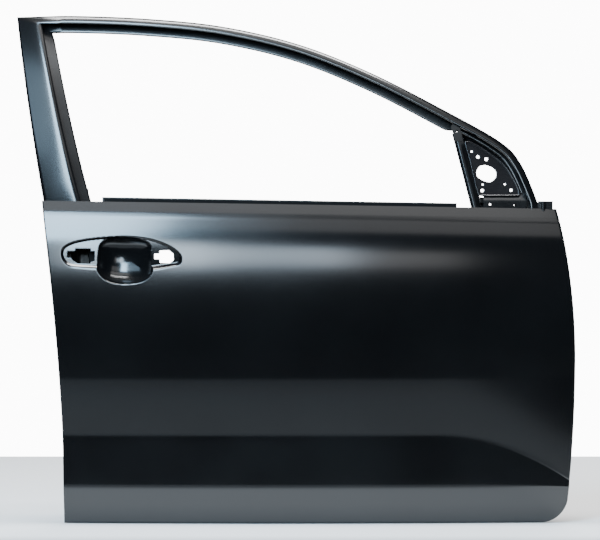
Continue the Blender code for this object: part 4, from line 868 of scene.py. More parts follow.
# %% Lines of the window frame
def spline(points, t):
    last = len(points) - 1
    f = clamp(t) * last
    i = min(int(f), last - 1)
    p1, p2 = Vector(points[i]), Vector(points[i + 1])
    p0 = Vector(points[i - 1]) if i > 0 else 2 * p1 - p2
    p3 = Vector(points[i + 2]) if i + 2 <= last else 2 * p2 - p1
    return catmull_rom(p0, p1, p2, p3, f - i)


def pillar_share(z):
    return (z - PILLAR_FOOT[1]) / (PILLAR_HEAD[1] - PILLAR_FOOT[1])


def pillar_x(z):
    f = pillar_share(z)
    bulge = 4.0 * PILLAR_BULGE * f * (1.0 - f) if 0.0 < f < 1.0 else 0.0
    return lerp(PILLAR_FOOT[0], PILLAR_HEAD[0], f) - bulge


def pillar_face(z):
    return lerp(PILLAR_FACE_FOOT, PILLAR_FACE_HEAD, clamp(pillar_share(z)) ** 0.75)


def header_z(x):
    """Height of the header's line at x, found by halving."""
    low, high = 0.0, 0.9
    for _ in range(30):
        mid = 0.5 * (low + high)
        if spline(HEADER_LINE, mid).x < x:
            low = mid
        else:
            high = mid
    return spline(HEADER_LINE, low).y


print("header's edge over the bar %.0f mm" % (1000 * (header_z(-0.21) - BELT_CREASE)))


# %% [markdown]
# The section of each pressing is a line of places across the frame and depths, both
# in metres.  Its bends are rounded with a fixed number of points, so that every
# station has the same count.  A roll former leaves radii of two or three gauges.

# %% Sections of the window frame
def fillet(points, radius, steps=4):
    """Round the bends of an open line; the number of points never changes."""
    line = [Vector(p) for p in points]
    out = [line[0]]
    for a, b, c in zip(line, line[1:], line[2:]):
        r = min(radius, 0.48 * (a - b).length, 0.48 * (c - b).length)
        p, q = b + (a - b).normalized() * r, b + (c - b).normalized() * r
        for k in range(steps + 1):
            t = k / steps
            out.append((1 - t) ** 2 * p + 2 * t * (1 - t) * b + t * t * q)
    return out + [line[-1]]


# share of the face's width, and how far the face lies back there
BROAD_CROWN = ((0.0, 0.0058), (0.20, 0.0042), (0.45, 0.0023), (0.68, 0.0007), (0.84, 0.0),
               (0.93, 0.0005), (0.97, 0.0014), (1.0, 0.0034))
NARROW_CROWN = ((0.0, 0.0026), (0.20, 0.0011), (0.45, 0.0003), (0.65, 0.0), (0.82, 0.0003),
                (0.92, 0.0010), (0.97, 0.0018), (1.0, 0.0034))
BROAD_FROM = 0.03


def outer_section(face, lip):
    """Edge, crowned face and a small fold at the window; this pressing has no lip."""
    crown = BROAD_CROWN if face > BROAD_FROM else NARROW_CROWN
    line = [(0.0010, 0.0340), (0.0010, crown[0][1] + 0.0020)]
    line += [(lerp(0.0030, face, i / 14), through(crown, i / 14)) for i in range(15)]
    fold = [(face - 0.0004, 0.0056), (face - 0.0022, 0.0074)]
    return fillet(line[:3], 0.0025) + line[3:] + fold


def inner_section(face, lip):
    """Box behind the face with the groove of the seal, and the lip that it grips."""
    edge = 0.0010 + FRAME_GAUGE + FIT
    groove = [(lerp(edge, lip, share), FRAME_DEPTH - sink)
              for share, sink in ((0.28, 0.0), (0.38, 0.0022), (0.66, 0.0022), (0.76, 0.0))]
    back = [(edge, 0.0120), (edge, FRAME_DEPTH), *groove, (lip, FRAME_DEPTH)]
    # The lip slopes on the broad pillar and lies flat on the narrow header.
    slope = 1.0 if face > BROAD_FROM else 0.0
    front = [(lip, LIP_IN + 0.0012 + 0.0066 * slope), (lip - 0.0026, LIP_IN + 0.0062 * slope),
             (face - 0.0065, LIP_IN - 0.0020 * slope), (face - 0.0065, 0.0062)]
    return fillet(back + front, 0.0030, 5)


print("sections have", len(outer_section(0.05, 0.07)), "and", len(inner_section(0.05, 0.07)), "points")


# %% [markdown]
# The sweep has three parts: stations up the pillar, seven between its last one and
# the mitre, and stations along the header, where the section stands square to the
# line.  Near the front pillar the lip gets narrower.

# %% Window frame
PILLAR_TOP = BELT_CREASE + 0.370
HEADER_START, FRONT_LIP = 0.075, 0.008


def pillar_rows(section_of):
    rows = []
    for i in range(61):
        z = lerp(PILLAR_FOOT[1], PILLAR_TOP, i / 60)
        face = pillar_face(z)
        rows.append([(pillar_x(z) + w, z, d) for w, d in section_of(face, face + LIP_OVERLAP)])
    return rows


def mitre_row(section_of):
    """Where each line of the pillar's section meets the header's, found by steps."""
    upright = section_of(PILLAR_FACE_HEAD, PILLAR_FACE_HEAD + LIP_OVERLAP)
    across = section_of(HEADER_FACE, HEADER_FACE + LIP_OVERLAP)
    row = []
    for (wp, d), (wh, _) in zip(upright, across):
        x, z = PILLAR_HEAD
        for _ in range(12):
            z = header_z(x) - wh
            x = pillar_x(z) + wp
        row.append((x, z, d))
    return row


def header_rows(section_of):
    rows = []
    for i in range(261):
        t = lerp(HEADER_START, 1.0, i / 260)
        p = spline(HEADER_LINE, t)
        ahead = spline(HEADER_LINE, min(t + 0.004, 1.0)) - spline(HEADER_LINE, max(t - 0.004, 0.0))
        n = Vector((ahead.y, -ahead.x)).normalized()
        lip = HEADER_FACE + lerp(LIP_OVERLAP, FRONT_LIP, smooth((p.x + 0.215) / 0.030))
        rows.append([(p.x + n.x * w, p.y + n.y * w, d) for w, d in section_of(HEADER_FACE, lip)])
    return rows


def frame_rows(section_of):
    rows, mitre = pillar_rows(section_of), mitre_row(section_of)
    pairs = [(Vector(a), Vector(b)) for a, b in zip(rows[-1], mitre)]
    rows += [[tuple(a.lerp(b, k / 8)) for a, b in pairs] for k in range(1, 8)]
    rows += [mitre] + header_rows(section_of)
    return [[(x, glass_y(x, z) - FACE_OUT + d, z) for x, z, d in row] for row in rows]


pressing("frame_outer_face", surface([frame_rows(outer_section)]), FRAME_GAUGE, skin_coat,
         ["window_frame_outer"], 40.0)
pressing("frame_inner_box", surface([frame_rows(inner_section)]), FRAME_GAUGE, inner_coat,
         ["window_frame_inner"], 40.0)


# %% [markdown]
# The division bar is a roll-formed channel that guides the front edge of the
# glass.  Its lips turn in a little, and it runs down inside the door.  The front
# half of its outer face is turned inwards below the head: that half looks away from
# the lights and reads as the dark stripe of the photograph.

# %% Division bar
CHANNEL_GAUGE = 0.0009
BAR_TOP = (-0.2135, BELT_CREASE + 0.1675)
BAR_FOOT_Z, BAR_RAKE = 0.400, -0.243
BAR_WIDTH, BAR_HALF = 0.020, 0.0095
BAR_TURN, BAR_TURN_FROM = 0.0062, 0.0105
BAR_TURN_BELOW, BAR_TURN_BLEND = 0.020, 0.025
# the upper end is cut at a slant, which fades out down the bar
BAR_SLANT, BAR_TRIM, BAR_SLANT_FADE = 0.58, 0.0015, 0.0288
bar_line = fillet(((0.0000, 0.0078), (0.0012, BAR_HALF), (BAR_WIDTH, BAR_HALF), (BAR_WIDTH, -BAR_HALF),
                   (BAR_TURN_FROM, -BAR_HALF - 0.00001), (0.0046, -BAR_HALF), (0.0040, -0.0072)), 0.0024)


def bar_row(level):
    """One section of the bar, at a distance below its top."""
    row, turn = [], BAR_TURN * smooth((level - BAR_TURN_BELOW) / BAR_TURN_BLEND)
    for w, d in bar_line:
        z = BAR_TOP[1] - level - (BAR_SLANT * w + BAR_TRIM) * max(0.0, 1.0 - level / BAR_SLANT_FADE)
        x = BAR_TOP[0] + BAR_RAKE * (z - BAR_TOP[1]) + w
        if d < 0.0:
            d += turn * max(0.0, w - BAR_TURN_FROM) / (BAR_WIDTH - BAR_TURN_FROM)
        row.append((x, glass_y(x, z) + d, z))
    return row


bar_rows = [bar_row(lerp(0.0, BAR_TOP[1] - BAR_FOOT_Z, i / 140)) for i in range(141)]
pressing("division_channel", surface([bar_rows]), CHANNEL_GAUGE, inner_coat, ["division_bar"])


# %% [markdown]
# The mirror plate is a stiff pressing in a plane of its own, leaning inwards as it
# rises.  Its outline and holes are given as points: seven round holes for the
# mirror's bolts and pins, the large one for its cable, and a notch in one of them.

# %% Sizes of the mirror plate
PLATE_GAUGE = 0.0014
MIRROR_CENTRE = (-0.130, BELT_CREASE + 0.080)
MIRROR_LEAN, MIRROR_PLAN = 0.198, 0.0588
MIRROR_Y = glass_y(*MIRROR_CENTRE) - 0.002
PLATE_LINE = above_belt(((-0.1530, 0.0335), (-0.1150, 0.0330), (-0.0780, 0.0335), (-0.0735, 0.0385),
                         (-0.0775, 0.0530), (-0.0850, 0.0690), (-0.0930, 0.0835), (-0.1026, 0.0967),
                         (-0.1140, 0.1080), (-0.1264, 0.1180), (-0.1420, 0.1290), (-0.1586, 0.1394),
                         (-0.1755, 0.1480), (-0.1845, 0.1485), (-0.1862, 0.1410), (-0.1785, 0.1140),
                         (-0.1690, 0.0720), (-0.1612, 0.0395)))
CABLE_HOLE = above_belt(((-0.1472, 0.0996), (-0.1380, 0.0980), (-0.1275, 0.0930), (-0.1208, 0.0835),
                         (-0.1222, 0.0710), (-0.1320, 0.0622), (-0.1400, 0.0615), (-0.1520, 0.0655),
                         (-0.1630, 0.0740), (-0.1645, 0.0850), (-0.1575, 0.0965)))
PLATE_HOLES = above_belt(((-0.1731, 0.1273, 0.0035), (-0.1599, 0.1159, 0.0047), (-0.1423, 0.1111, 0.0050),
                          (-0.1506, 0.0570, 0.0032), (-0.1518, 0.0444, 0.0047),
                          (-0.1039, 0.0577, 0.0032), (-0.0907, 0.0452, 0.0043)))
# points 7 to 9 of the second hole are drawn out upwards into a notch
NOTCHED_HOLE = 1
NOTCH = {7: (0.0006, 0.0056), 8: (-0.0010, 0.0070), 9: (-0.0022, 0.0054)}


def mirror_y(x, z):
    return MIRROR_Y + MIRROR_LEAN * (z - MIRROR_CENTRE[1]) + MIRROR_PLAN * (x - MIRROR_CENTRE[0])


print("mirror plate has", 1 + len(PLATE_HOLES), "holes")


# %% [markdown]
# A rolled rim is a loft of offset outlines, and a hole's lip is one too.  What lies
# between them is flat, so it is filled by one triangulation that keeps its edges.

# %% Rings and flat floors
def grow(points, distance):
    """Offset a closed outline outwards along its normals."""
    loop = [Vector(p) for p in points]
    area = sum(a.x * b.y - b.x * a.y for a, b in zip(loop, loop[1:] + loop[:1]))
    turn = 1.0 if area > 0 else -1.0
    out = []
    for i, p in enumerate(loop):
        t = (loop[(i + 1) % len(loop)] - loop[i - 1]).normalized()
        out.append(p + Vector((t.y, -t.x)) * distance * turn)
    return out


def shrink(points, inset):
    """Offset inwards in small steps, smoothed so that tight corners never cross."""
    loop = [Vector(p) for p in points]
    steps = max(1, round(abs(inset) / 0.0006))
    for _ in range(steps):
        loop = grow(loop, -inset / steps)
        loop = [0.5 * p + 0.25 * (loop[i - 1] + loop[(i + 1) % len(loop)]) for i, p in enumerate(loop)]
    return loop


def circle(x, z, radius, count=32):
    turn = [2.0 * math.pi * k / count for k in range(count)]
    return [(x + radius * math.cos(a), z + radius * math.sin(a)) for a in turn]


def add_ring(bm, points):
    return [bm.verts.new(Vector(p) + SHIFT) for p in points]


def join_rings(bm, low, high):
    for i in range(len(low)):
        j = (i + 1) % len(low)
        bm.faces.new((low[i], low[j], high[j], high[i]))


def add_floor(bm, outline, holes, depth_at):
    """Fill an (x, z) outline around its holes, at the depth that depth_at gives."""
    points, edges = [], []
    for loop in [outline] + holes:
        first, n = len(points), len(loop)
        points += [Vector((p[0], p[1])) for p in loop]
        edges += [(first + i, first + (i + 1) % n) for i in range(n)]
    flat, _, faces, *_ = delaunay_2d_cdt(points, edges, [], 1, 1e-7)
    verts = add_ring(bm, [(p.x, depth_at(p.x, p.y), p.y) for p in flat])
    for face in faces:
        x, z = sum((flat[i] for i in face), Vector((0.0, 0.0))) / len(face)
        if not any(inside([(p[0], p[1]) for p in hole], x, z) for hole in holes):
            bm.faces.new([verts[i] for i in face])


print("a unit circle grown by a half has radius", grow(circle(0.0, 0.0, 1.0), 0.5)[0].length)


# %% [markdown]
# The plate is built from its rim inwards: the rolled rim, the flat floor around
# the holes, and a lip round each hole that is drawn inwards by the punch.

# %% Mirror plate
rim = fillet(((0.0032, 0.0), (0.0018, 0.0), (0.0014, 0.0030), (0.0000, 0.0032), (-0.0004, 0.0020)), 0.0010)
LIP_START = 0.0006
HOLE_LIP = ((LIP_START, 0.0), (0.0, 0.0), (-0.0004, 0.0002), (-0.0007, 0.0008), (-0.0007, 0.0014))
plate_line = closed_spline(PLATE_LINE, 126)
rings = []
for inset, lift in rim:
    rings.append([(p.x, mirror_y(p.x, p.y) - lift, p.y) for p in shrink(plate_line, inset)])
bm = surface([rings], wrap=True)
holes = [closed_spline(CABLE_HOLE, 66)] + [circle(*hole) for hole in PLATE_HOLES]
for k, (dx, dz) in NOTCH.items():
    x, z, _ = PLATE_HOLES[NOTCHED_HOLE]
    holes[1 + NOTCHED_HOLE][k] = (x + dx, z + dz)
add_floor(bm, [(p[0], p[2]) for p in rings[0]], [grow(hole, LIP_START) for hole in holes], mirror_y)
for hole in holes:
    lip = [add_ring(bm, [(p.x, mirror_y(p.x, p.y) + sink, p.y) for p in grow(hole, wider)])
           for wider, sink in HOLE_LIP]
    for low, high in zip(lip, lip[1:]):
        join_rings(bm, low, high)
bmesh.ops.remove_doubles(bm, verts=bm.verts, dist=SEAM)
print("the plate's sheet has", len(bm.verts), "points and", len(holes), "holes")
pressing("mirror_plate_pressing", bm, PLATE_GAUGE, plate_sheen_coat, ["mirror_plate"], 40.0)


# %% [markdown]
# Where the bar meets the header its outer flange is carried on over the seal lip
# to the edge of the face, with a rounded shoulder, and is welded there.

# %% Head of the division bar
HEAD_LINE = above_belt(((-0.2128, 0.1660), (-0.2140, 0.1720), (-0.2162, 0.1768), (-0.2158, 0.1822),
                        (-0.2110, 0.1862), (-0.2052, 0.1842), (-0.1992, 0.1800), (-0.1966, 0.1740),
                        (-0.1936, 0.1600), (-0.1930, 0.1500), (-0.2050, 0.1490), (-0.2090, 0.1500)))
HEAD_HOLE = (-0.2042, BELT_CREASE + 0.1715, 0.0026, 24)


def head_y(x, z):
    return glass_y(x, z) - BAR_HALF - CHANNEL_GAUGE - FIT


bm = bmesh.new()
add_floor(bm, closed_spline(HEAD_LINE, 72), [circle(*HEAD_HOLE)], head_y)
pressing("division_bar_head", bm, CHANNEL_GAUGE, inner_coat)


# %% [markdown]
# Holes that a coarse sheet can't follow are cut by a boolean.  A cutter is a closed
# loop carried from a near to a far depth; one tool can hold many of them.

# %% Cutters
def punch_tool(name, loops):
    """One cutter out of several pairs of rings, near and far, in drawing places."""
    bm = bmesh.new()
    for near, far in loops:
        low, high = add_ring(bm, near), add_ring(bm, far)
        join_rings(bm, low, high)
        bm.faces.new(low)
        bm.faces.new(high)
    bmesh.ops.recalc_face_normals(bm, faces=bm.faces)
    return mesh_object(name, bm)


def carried(outline, y0, y1):
    """Near and far ring of an (x, z) outline."""
    return [(x, y0, z) for x, z in outline], [(x, y1, z) for x, z in outline]


print("a cutter of a circle has", 2 * len(circle(0.0, 0.0, 1.0)), "points")


# %% [markdown]
# Behind the mirror plate stands a ring with a pressed step, which ties the bar to
# the front pillar and carries the plate.  Its straight sides are cut in equal
# steps and blended inwards, so the step runs round it evenly.

# %% Sail ring
REINFORCEMENT_GAUGE = 0.0012
SAIL_OUTER = above_belt(((-0.1590, -0.0050), (-0.1250, -0.0050), (-0.0900, -0.0050), (-0.0560, -0.0050),
                         (-0.0575, 0.0350), (-0.0720, 0.0750), (-0.0950, 0.1130), (-0.1330, 0.1440),
                         (-0.1760, 0.1700), (-0.1985, 0.1790), (-0.1905, 0.1350), (-0.1780, 0.0750)))
SAIL_INNER = above_belt(((-0.1560, 0.0310), (-0.1300, 0.0280), (-0.1000, 0.0280), (-0.0850, 0.0310),
                         (-0.0830, 0.0430), (-0.0940, 0.0690), (-0.1120, 0.0950), (-0.1370, 0.1160),
                         (-0.1610, 0.1300), (-0.1790, 0.1380), (-0.1770, 0.1150), (-0.1680, 0.0750)))
SAIL_GAP, SAIL_STEP = 0.0005, 0.0035
SAIL_BACK = FRAME_DEPTH - FACE_OUT + FRAME_GAUGE / 2 + SAIL_GAP + REINFORCEMENT_GAUGE / 2
SAIL_HOLES = above_belt(((-0.1361, 0.0150), (-0.0837, 0.0134)))


def between_corners(points, per_side):
    """A closed line with straight sides, each cut in the same number of steps."""
    return [tuple(Vector(a).lerp(Vector(b), k / per_side))
            for a, b in zip(points, points[1:] + points[:1]) for k in range(per_side)]


outer_loop, inner_loop = between_corners(SAIL_OUTER, 10), between_corners(SAIL_INNER, 10)
rings = []
for share, lift in fillet(((0.0, 0.0), (0.55, 0.0), (0.66, SAIL_STEP), (1.0, SAIL_STEP)), 0.05):
    loop = [Vector(a).lerp(Vector(b), share) for a, b in zip(outer_loop, inner_loop)]
    rings.append([(p.x, glass_y(p.x, p.y) + SAIL_BACK - lift, p.y) for p in loop])
tools = [punch_tool("sail_hole_%d" % i, [carried(circle(x, z, 0.0040, 20), 0.070, 0.130)])
         for i, (x, z) in enumerate(SAIL_HOLES)]
pressing("sail_ring", surface([rings], wrap=True), REINFORCEMENT_GAUGE, inner_coat, ["sail_inner_panel"],
         cutters=tools)


# %% [markdown]
# Below the mirror plate a dark stepped bracket closes the corner down to the belt.
# Its upper edge lies behind the plate, and the step below follows the skin's bow.

# %% Sail base
BEHIND_PLATE = PLATE_GAUGE / 2 + FIT + REINFORCEMENT_GAUGE / 2
BASE_ENDS, BASE_TOP = (-0.1495, -0.0590), (0.0390, 0.0340)
BASE_PROFILE = ((0.0265, 0.0738), (0.0225, 0.0716), (-0.0100, 0.0722))
BASE_PROFILE_X = -0.110
BASE_HOLES = above_belt(((-0.1356, 0.0147), (-0.0834, 0.0131)))

base_rows = []
for i in range(31):
    x = lerp(*BASE_ENDS, i / 30)
    line = [(BELT_CREASE + rise, mirror_y(x, BELT_CREASE + rise) + BEHIND_PLATE) for rise in BASE_TOP]
    line += [(BELT_CREASE + rise, y + bow(x) - bow(BASE_PROFILE_X)) for rise, y in BASE_PROFILE]
    base_rows.append([(x, y, z) for z, y in fillet(line, 0.0030)])
tools = [punch_tool("base_hole_%d" % i, [carried(circle(x, z, 0.0022, 20), 0.050, 0.095)])
         for i, (x, z) in enumerate(BASE_HOLES)]
pressing("sail_base_step", surface([base_rows]), REINFORCEMENT_GAUGE, inner_coat, ["sail_base_bracket"],
         cutters=tools)


# %% [markdown]
# A small tab with one pressed bead stands at the front end of the belt, where the
# trim strip is clipped.  It is one section, carried straight up.

# %% Belt tab
TAB_Y, TAB_BEAD = 0.0600, 0.0032
TAB_LOW, TAB_HIGH = -0.017, 0.0215
tab_line = fillet(((-0.0365, 0.0), (-0.0292, 0.0), (-0.0268, TAB_BEAD), (-0.0226, TAB_BEAD),
                   (-0.0202, 0.0), (-0.0045, 0.0)), 0.0016)
tab = [[(x, TAB_Y - lift, BELT_CREASE + lerp(TAB_LOW, TAB_HIGH, i / 12)) for x, lift in tab_line]
       for i in range(13)]
pressing("belt_tab_pressing", surface([tab]), REINFORCEMENT_GAUGE, inner_coat, ["front_belt_tab"])


# %% [markdown]
# The inner panel is the deepest pressing of the door.  Round its flat face the
# walls step down to a ledge for the seal and on to the flange that the skin is
# hemmed over.  The profile of the walls is given by rings at fixed insets from the
# door's edge; each station of the edge carries that profile with rounded bends.

# %% Rings and walls of the inner panel
INNER_GAUGE = 0.0008
INNER_Y, INNER_TOP = 0.106, BELT_CREASE - 0.021
FRONT_WALL_BACK, PAD_LIFT, HEM_LAP = 0.0255, 0.0004, 0.0016
REAR_LEDGE_Y, BOTTOM_LEDGE_Y, FRONT_LEDGE_Y = 0.078, 0.086, 0.093
WALL_STEPS = 12
# rear inset, front inset, height above the bottom, corner radius; rear, bottom and front depth
RINGS = ((0.070, 0.038, 0.072, 0.042, INNER_Y, INNER_Y, INNER_Y),
         (0.058, 0.026, 0.060, 0.046, INNER_Y, INNER_Y, INNER_Y),
         (0.053, 0.022, 0.055, 0.044, INNER_Y - 0.0035, INNER_Y - 0.0035, INNER_Y - 0.0035),
         (0.045, 0.016, 0.046, 0.040, REAR_LEDGE_Y + 0.002, BOTTOM_LEDGE_Y + 0.002, FRONT_LEDGE_Y + 0.002),
         (0.025, 0.003, 0.024, 0.040, REAR_LEDGE_Y, BOTTOM_LEDGE_Y, FRONT_LEDGE_Y),
         (0.0205, 0.0, 0.0195, 0.040, REAR_LEDGE_Y - 0.0035, BOTTOM_LEDGE_Y - 0.003, FRONT_LEDGE_Y - 0.004))
FLANGE_FOOT = 0.0150
REAR_FOOT_R, FRONT_FOOT_R = 0.020, 0.045
# a place far beyond the door, for a side that has only one of the two corners
NO_CORNER = 9.0


def wall_x(z):
    return min(0.0, front_side(max(z, CORNER_R)) - FRONT_WALL_BACK) - PAD_LIFT - INNER_GAUGE / 2


def round_corner(x, z, x_rear, x_front, z_low, r):
    """Move points near the two lower corners onto arcs of radius r."""
    for corner, sign in ((x_rear, 1.0), (x_front, -1.0)):
        along_x, along_z = (x - corner) * sign, z - z_low
        if along_x < r and along_z < r:
            if along_x <= along_z + 1e-9:
                angle = math.radians(45.0 * (1.0 - along_z / r))
            else:
                angle = math.radians(90.0 - 45.0 * (1.0 - along_x / r))
            return corner + sign * r * (1.0 - math.cos(angle)), z_low + r * (1.0 - math.sin(angle))
    return x, z


def ring_point(station, ring):
    """Point of one ring at a station of the door's edge."""
    side, value = station
    a, b, c, radius, rear, bottom, front = ring
    low_rear, low_front = rear_x(0.0) + a, wall_x(c) - b
    depth = bottom
    if side == "bottom":
        x, z = lerp(low_rear, low_front, value), c
    else:
        x, z = rear_edge(value) if side == "rear" else (0.0, row_height(value, 0.0))
        z += c * max(0.0, 1.0 - z / 0.120)
        x = x + a if side == "rear" else wall_x(z) - b
        depth = lerp(bottom, rear if side == "rear" else front, smooth(value / 0.12))
    x, z = round_corner(x, z, low_rear, low_front, c, radius)
    return x, depth, z


def flange_foot(side, value):
    """Where the wall ends and the hem flange begins."""
    low_rear, low_front = rear_x(0.0) + FLANGE_FOOT, wall_x(0.0)
    if side == "rear":
        x, z = rear_edge(value, FLANGE_FOOT)
        return round_corner(x, z, low_rear, NO_CORNER, FLANGE_FOOT, REAR_FOOT_R)
    if side == "bottom":
        x = lerp(low_rear, low_front, value)
        return round_corner(x, FLANGE_FOOT, low_rear, low_front, FLANGE_FOOT, FRONT_FOOT_R)
    z = row_height(value, 0.0)
    z += FLANGE_FOOT * max(0.0, 1.0 - z / CORNER_R)
    return round_corner(wall_x(z), z, -NO_CORNER, low_front, FLANGE_FOOT, FRONT_FOOT_R)


def flange_point(station, lap):
    """Foot of the flange, or its end under the hem; both lie against the skin."""
    side, value = station
    x, z = EDGE[side](value, HEM_LAP + SKIN_GAUGE / 2) if lap else flange_foot(side, value)
    s = value if side != "bottom" and value > CORNER_R else row_at(x, z)
    return x, section(s, x) + bow(x) + SKIN_GAUGE + FIT + INNER_GAUGE / 2, z


def wall_profile(station):
    """The wall at one station: through the rings, then in even steps to the flange."""
    line = [ring_point(station, ring) for ring in RINGS]
    line = fillet(line + [flange_point(station, False), flange_point(station, True)], 0.0032, 3)
    low, high = 4 * (len(RINGS) - 1), 4 * (len(RINGS) - 1) + 1
    wall = [line[low].lerp(line[high], k / WALL_STEPS) for k in range(1, WALL_STEPS)]
    return line[:low + 1] + wall + line[high:]


print("wall profile has", len(wall_profile(("bottom", 0.5))), "points")


# %% [markdown]
# The face is stiffened by what the tool presses into it: a raised seat round each
# opening, on which the sealing sheet is glued, shallow ribs across the wide fields
# and a coined flat under every bolt.  As on the real panel these are soft steps of
# a few millimetres, so they are drawn as a height over the flat face.

# %% Relief of the inner panel
SERVICE_OPENING = (-0.860, -0.500, 0.335, INNER_TOP - 0.036, 0.045)
GLASS_OPENING = (-0.455, -0.150, 0.345, INNER_TOP - 0.049, 0.045)
SPEAKER_OPENING = (-0.295, -0.135, 0.115, 0.275, 0.080)
REAR_ACCESS = (-0.975, -0.905, 0.130, 0.235, 0.018)
MIDDLE_ACCESS = (-0.640, -0.500, 0.120, 0.215, 0.025)
CABLE_SLOT = (-0.960, -0.905, 0.395, 0.425, 0.014)
# opening, width and height of its seat
SEATS = ((SERVICE_OPENING, 0.0170, 0.0032), (GLASS_OPENING, 0.0170, 0.0032),
         (SPEAKER_OPENING, 0.0190, 0.0046), (REAR_ACCESS, 0.0100, 0.0024),
         (MIDDLE_ACCESS, 0.0120, 0.0028), (CABLE_SLOT, 0.0080, 0.0020))
# both ends, half width and height of a rib
RIBS = (((-0.860, 0.285), (-0.700, 0.285), 0.0110, 0.0036),
        ((-0.580, 0.262), (-0.400, 0.262), 0.0110, 0.0036),
        ((-0.860, 0.250), (-0.700, 0.250), 0.0110, 0.0036),
        ((-0.860, 0.215), (-0.740, 0.215), 0.0110, 0.0036),
        ((-0.840, 0.180), (-0.720, 0.115), 0.0110, 0.0036),
        ((-0.440, 0.215), (-0.360, 0.130), 0.0110, 0.0036),
        ((-0.900, 0.545), (-0.900, 0.475), 0.0095, 0.0030),
        ((-0.940, 0.545), (-0.940, 0.475), 0.0095, 0.0030),
        ((-0.112, 0.540), (-0.112, 0.400), 0.0100, 0.0032),
        ((-0.098, 0.260), (-0.098, 0.150), 0.0085, 0.0030))
BOLT_FLATS = ((-0.478, INNER_TOP - 0.074), (-0.478, 0.400), (-0.340, 0.300), (-0.640, 0.285))
CLIP_HOLES = ((-0.985, 0.300), (-0.985, INNER_TOP - 0.049), (-0.880, 0.085), (-0.700, 0.085),
              (-0.450, 0.085), (-0.330, 0.085), (-0.090, 0.085), (-0.070, 0.330),
              (-0.075, INNER_TOP - 0.044), (-0.478, INNER_TOP - 0.024), (-0.478, 0.320))


def box_gap(x, z, box):
    """Distance outside a rounded box, negative inside it."""
    x0, x1, z0, z1, r = box
    qx = abs(x - 0.5 * (x0 + x1)) - 0.5 * (x1 - x0) + r
    qz = abs(z - 0.5 * (z0 + z1)) - 0.5 * (z1 - z0) + r
    return math.hypot(max(qx, 0.0), max(qz, 0.0)) + min(max(qx, qz), 0.0) - r


def relief(x, z):
    """Height pressed over the flat face: seats, ribs, bolt flats, and a dimple round each clip."""
    height = 0.0
    for box, width, lift in SEATS:
        height = max(height, lift * smooth(1.0 - (box_gap(x, z, box) - width) / 0.0075))
    for (x0, z0), (x1, z1), half, lift in RIBS:
        dx, dz = x1 - x0, z1 - z0
        t = clamp(((x - x0) * dx + (z - z0) * dz) / (dx * dx + dz * dz))
        d = math.hypot(x0 + t * dx - x, z0 + t * dz - z) / half
        height = max(height, lift * (1.0 - d * d) ** 2 if d < 1.0 else 0.0)
    for bx, bz in BOLT_FLATS:
        height *= smooth((math.hypot(x - bx, z - bz) - 0.0085) / 0.0070)
    for bx, bz in CLIP_HOLES:
        height = max(height, 0.0014 * smooth((0.0150 - math.hypot(x - bx, z - bz)) / 0.0060))
    return height


print("seat stands %.1f mm over the face" % (1000 * relief(-0.51, 0.345)))


# %% [markdown]
# Openings and holes are punched after the pressing, so their edges are bare and
# sharp.  All cutters are closed loops joined in one tool, which cuts the panel in
# one step: the openings of the face, the clip and bolt holes, and in the walls the
# holes of the hinges, the door check, the wiring and the mouth of the latch.

# %% Punch tool of the inner panel
def rounded_box(x0, x1, z0, z1, r, steps=8):
    corners = ((x1 - r, z1 - r, 0), (x0 + r, z1 - r, 90), (x0 + r, z0 + r, 180), (x1 - r, z0 + r, 270))
    points = []
    for cx, cz, start in corners:
        turn = [math.radians(start + 90.0 * i / steps) for i in range(steps)]
        points += [(cx + r * math.cos(a), cz + r * math.sin(a)) for a in turn]
    return points


BOXES = (SERVICE_OPENING, GLASS_OPENING, REAR_ACCESS, MIDDLE_ACCESS, CABLE_SLOT)
left, right, low, high, speaker_r = SPEAKER_OPENING
face_loops = [rounded_box(*box) for box in BOXES]
face_loops.append(circle(0.5 * (left + right), 0.5 * (low + high), speaker_r, 72))
face_loops += [circle(x, z, 0.0042, 20) for x, z in CLIP_HOLES]
face_loops += [circle(x, z, 0.0035, 20) for x, z in BOLT_FLATS]
loops = [carried(loop, INNER_Y - 0.008, INNER_Y + 0.012) for loop in face_loops]

HINGE_FACES = ((0.070, 0.485), (0.074, 0.135))
HINGE_BOLT_PITCH, CHECK_Y, CHECK_Z, WIRING_Z, LATCH_Z = 0.044, 0.070, 0.300, 0.392, 0.470
CHECK_HALF, CHECK_SCREW = 0.017, 0.028
wall_loops = [circle(y, z + side * HINGE_BOLT_PITCH / 2, 0.0055, 24)
              for y, z in HINGE_FACES for side in (-1, 1)]
wall_loops.append(circle(CHECK_Y, WIRING_Z, 0.019, 40))
wall_loops.append(rounded_box(0.062, 0.078, CHECK_Z - CHECK_HALF, CHECK_Z + CHECK_HALF, 0.004, 3))
wall_loops += [circle(CHECK_Y, CHECK_Z + d, 0.0035, 16) for d in (-CHECK_SCREW, CHECK_SCREW)]
loops += [([(-0.010, y, z) for y, z in loop], [(0.010, y, z) for y, z in loop]) for loop in wall_loops]

LATCH_MOUTH = ((0.040, 0.010), (0.052, 0.020), (0.068, 0.020), (0.0730, 0.012),
               (0.0730, -0.016), (0.045, -0.016), (0.040, -0.010))
latch_x = rear_x(LATCH_Z) + 0.0175
loops.append(([(latch_x - 0.012, y, LATCH_Z + dz) for y, dz in LATCH_MOUTH],
              [(latch_x + 0.014, y, LATCH_Z + dz) for y, dz in LATCH_MOUTH]))
panel_punch = punch_tool("panel_punch", loops)
print("inner panel has", len(loops), "openings and holes")


# %% [markdown]
# The panel is joined from three grids: the walls, the flat face with its relief,
# and along the belt the step to the flange that carries the inner belt stiffener.

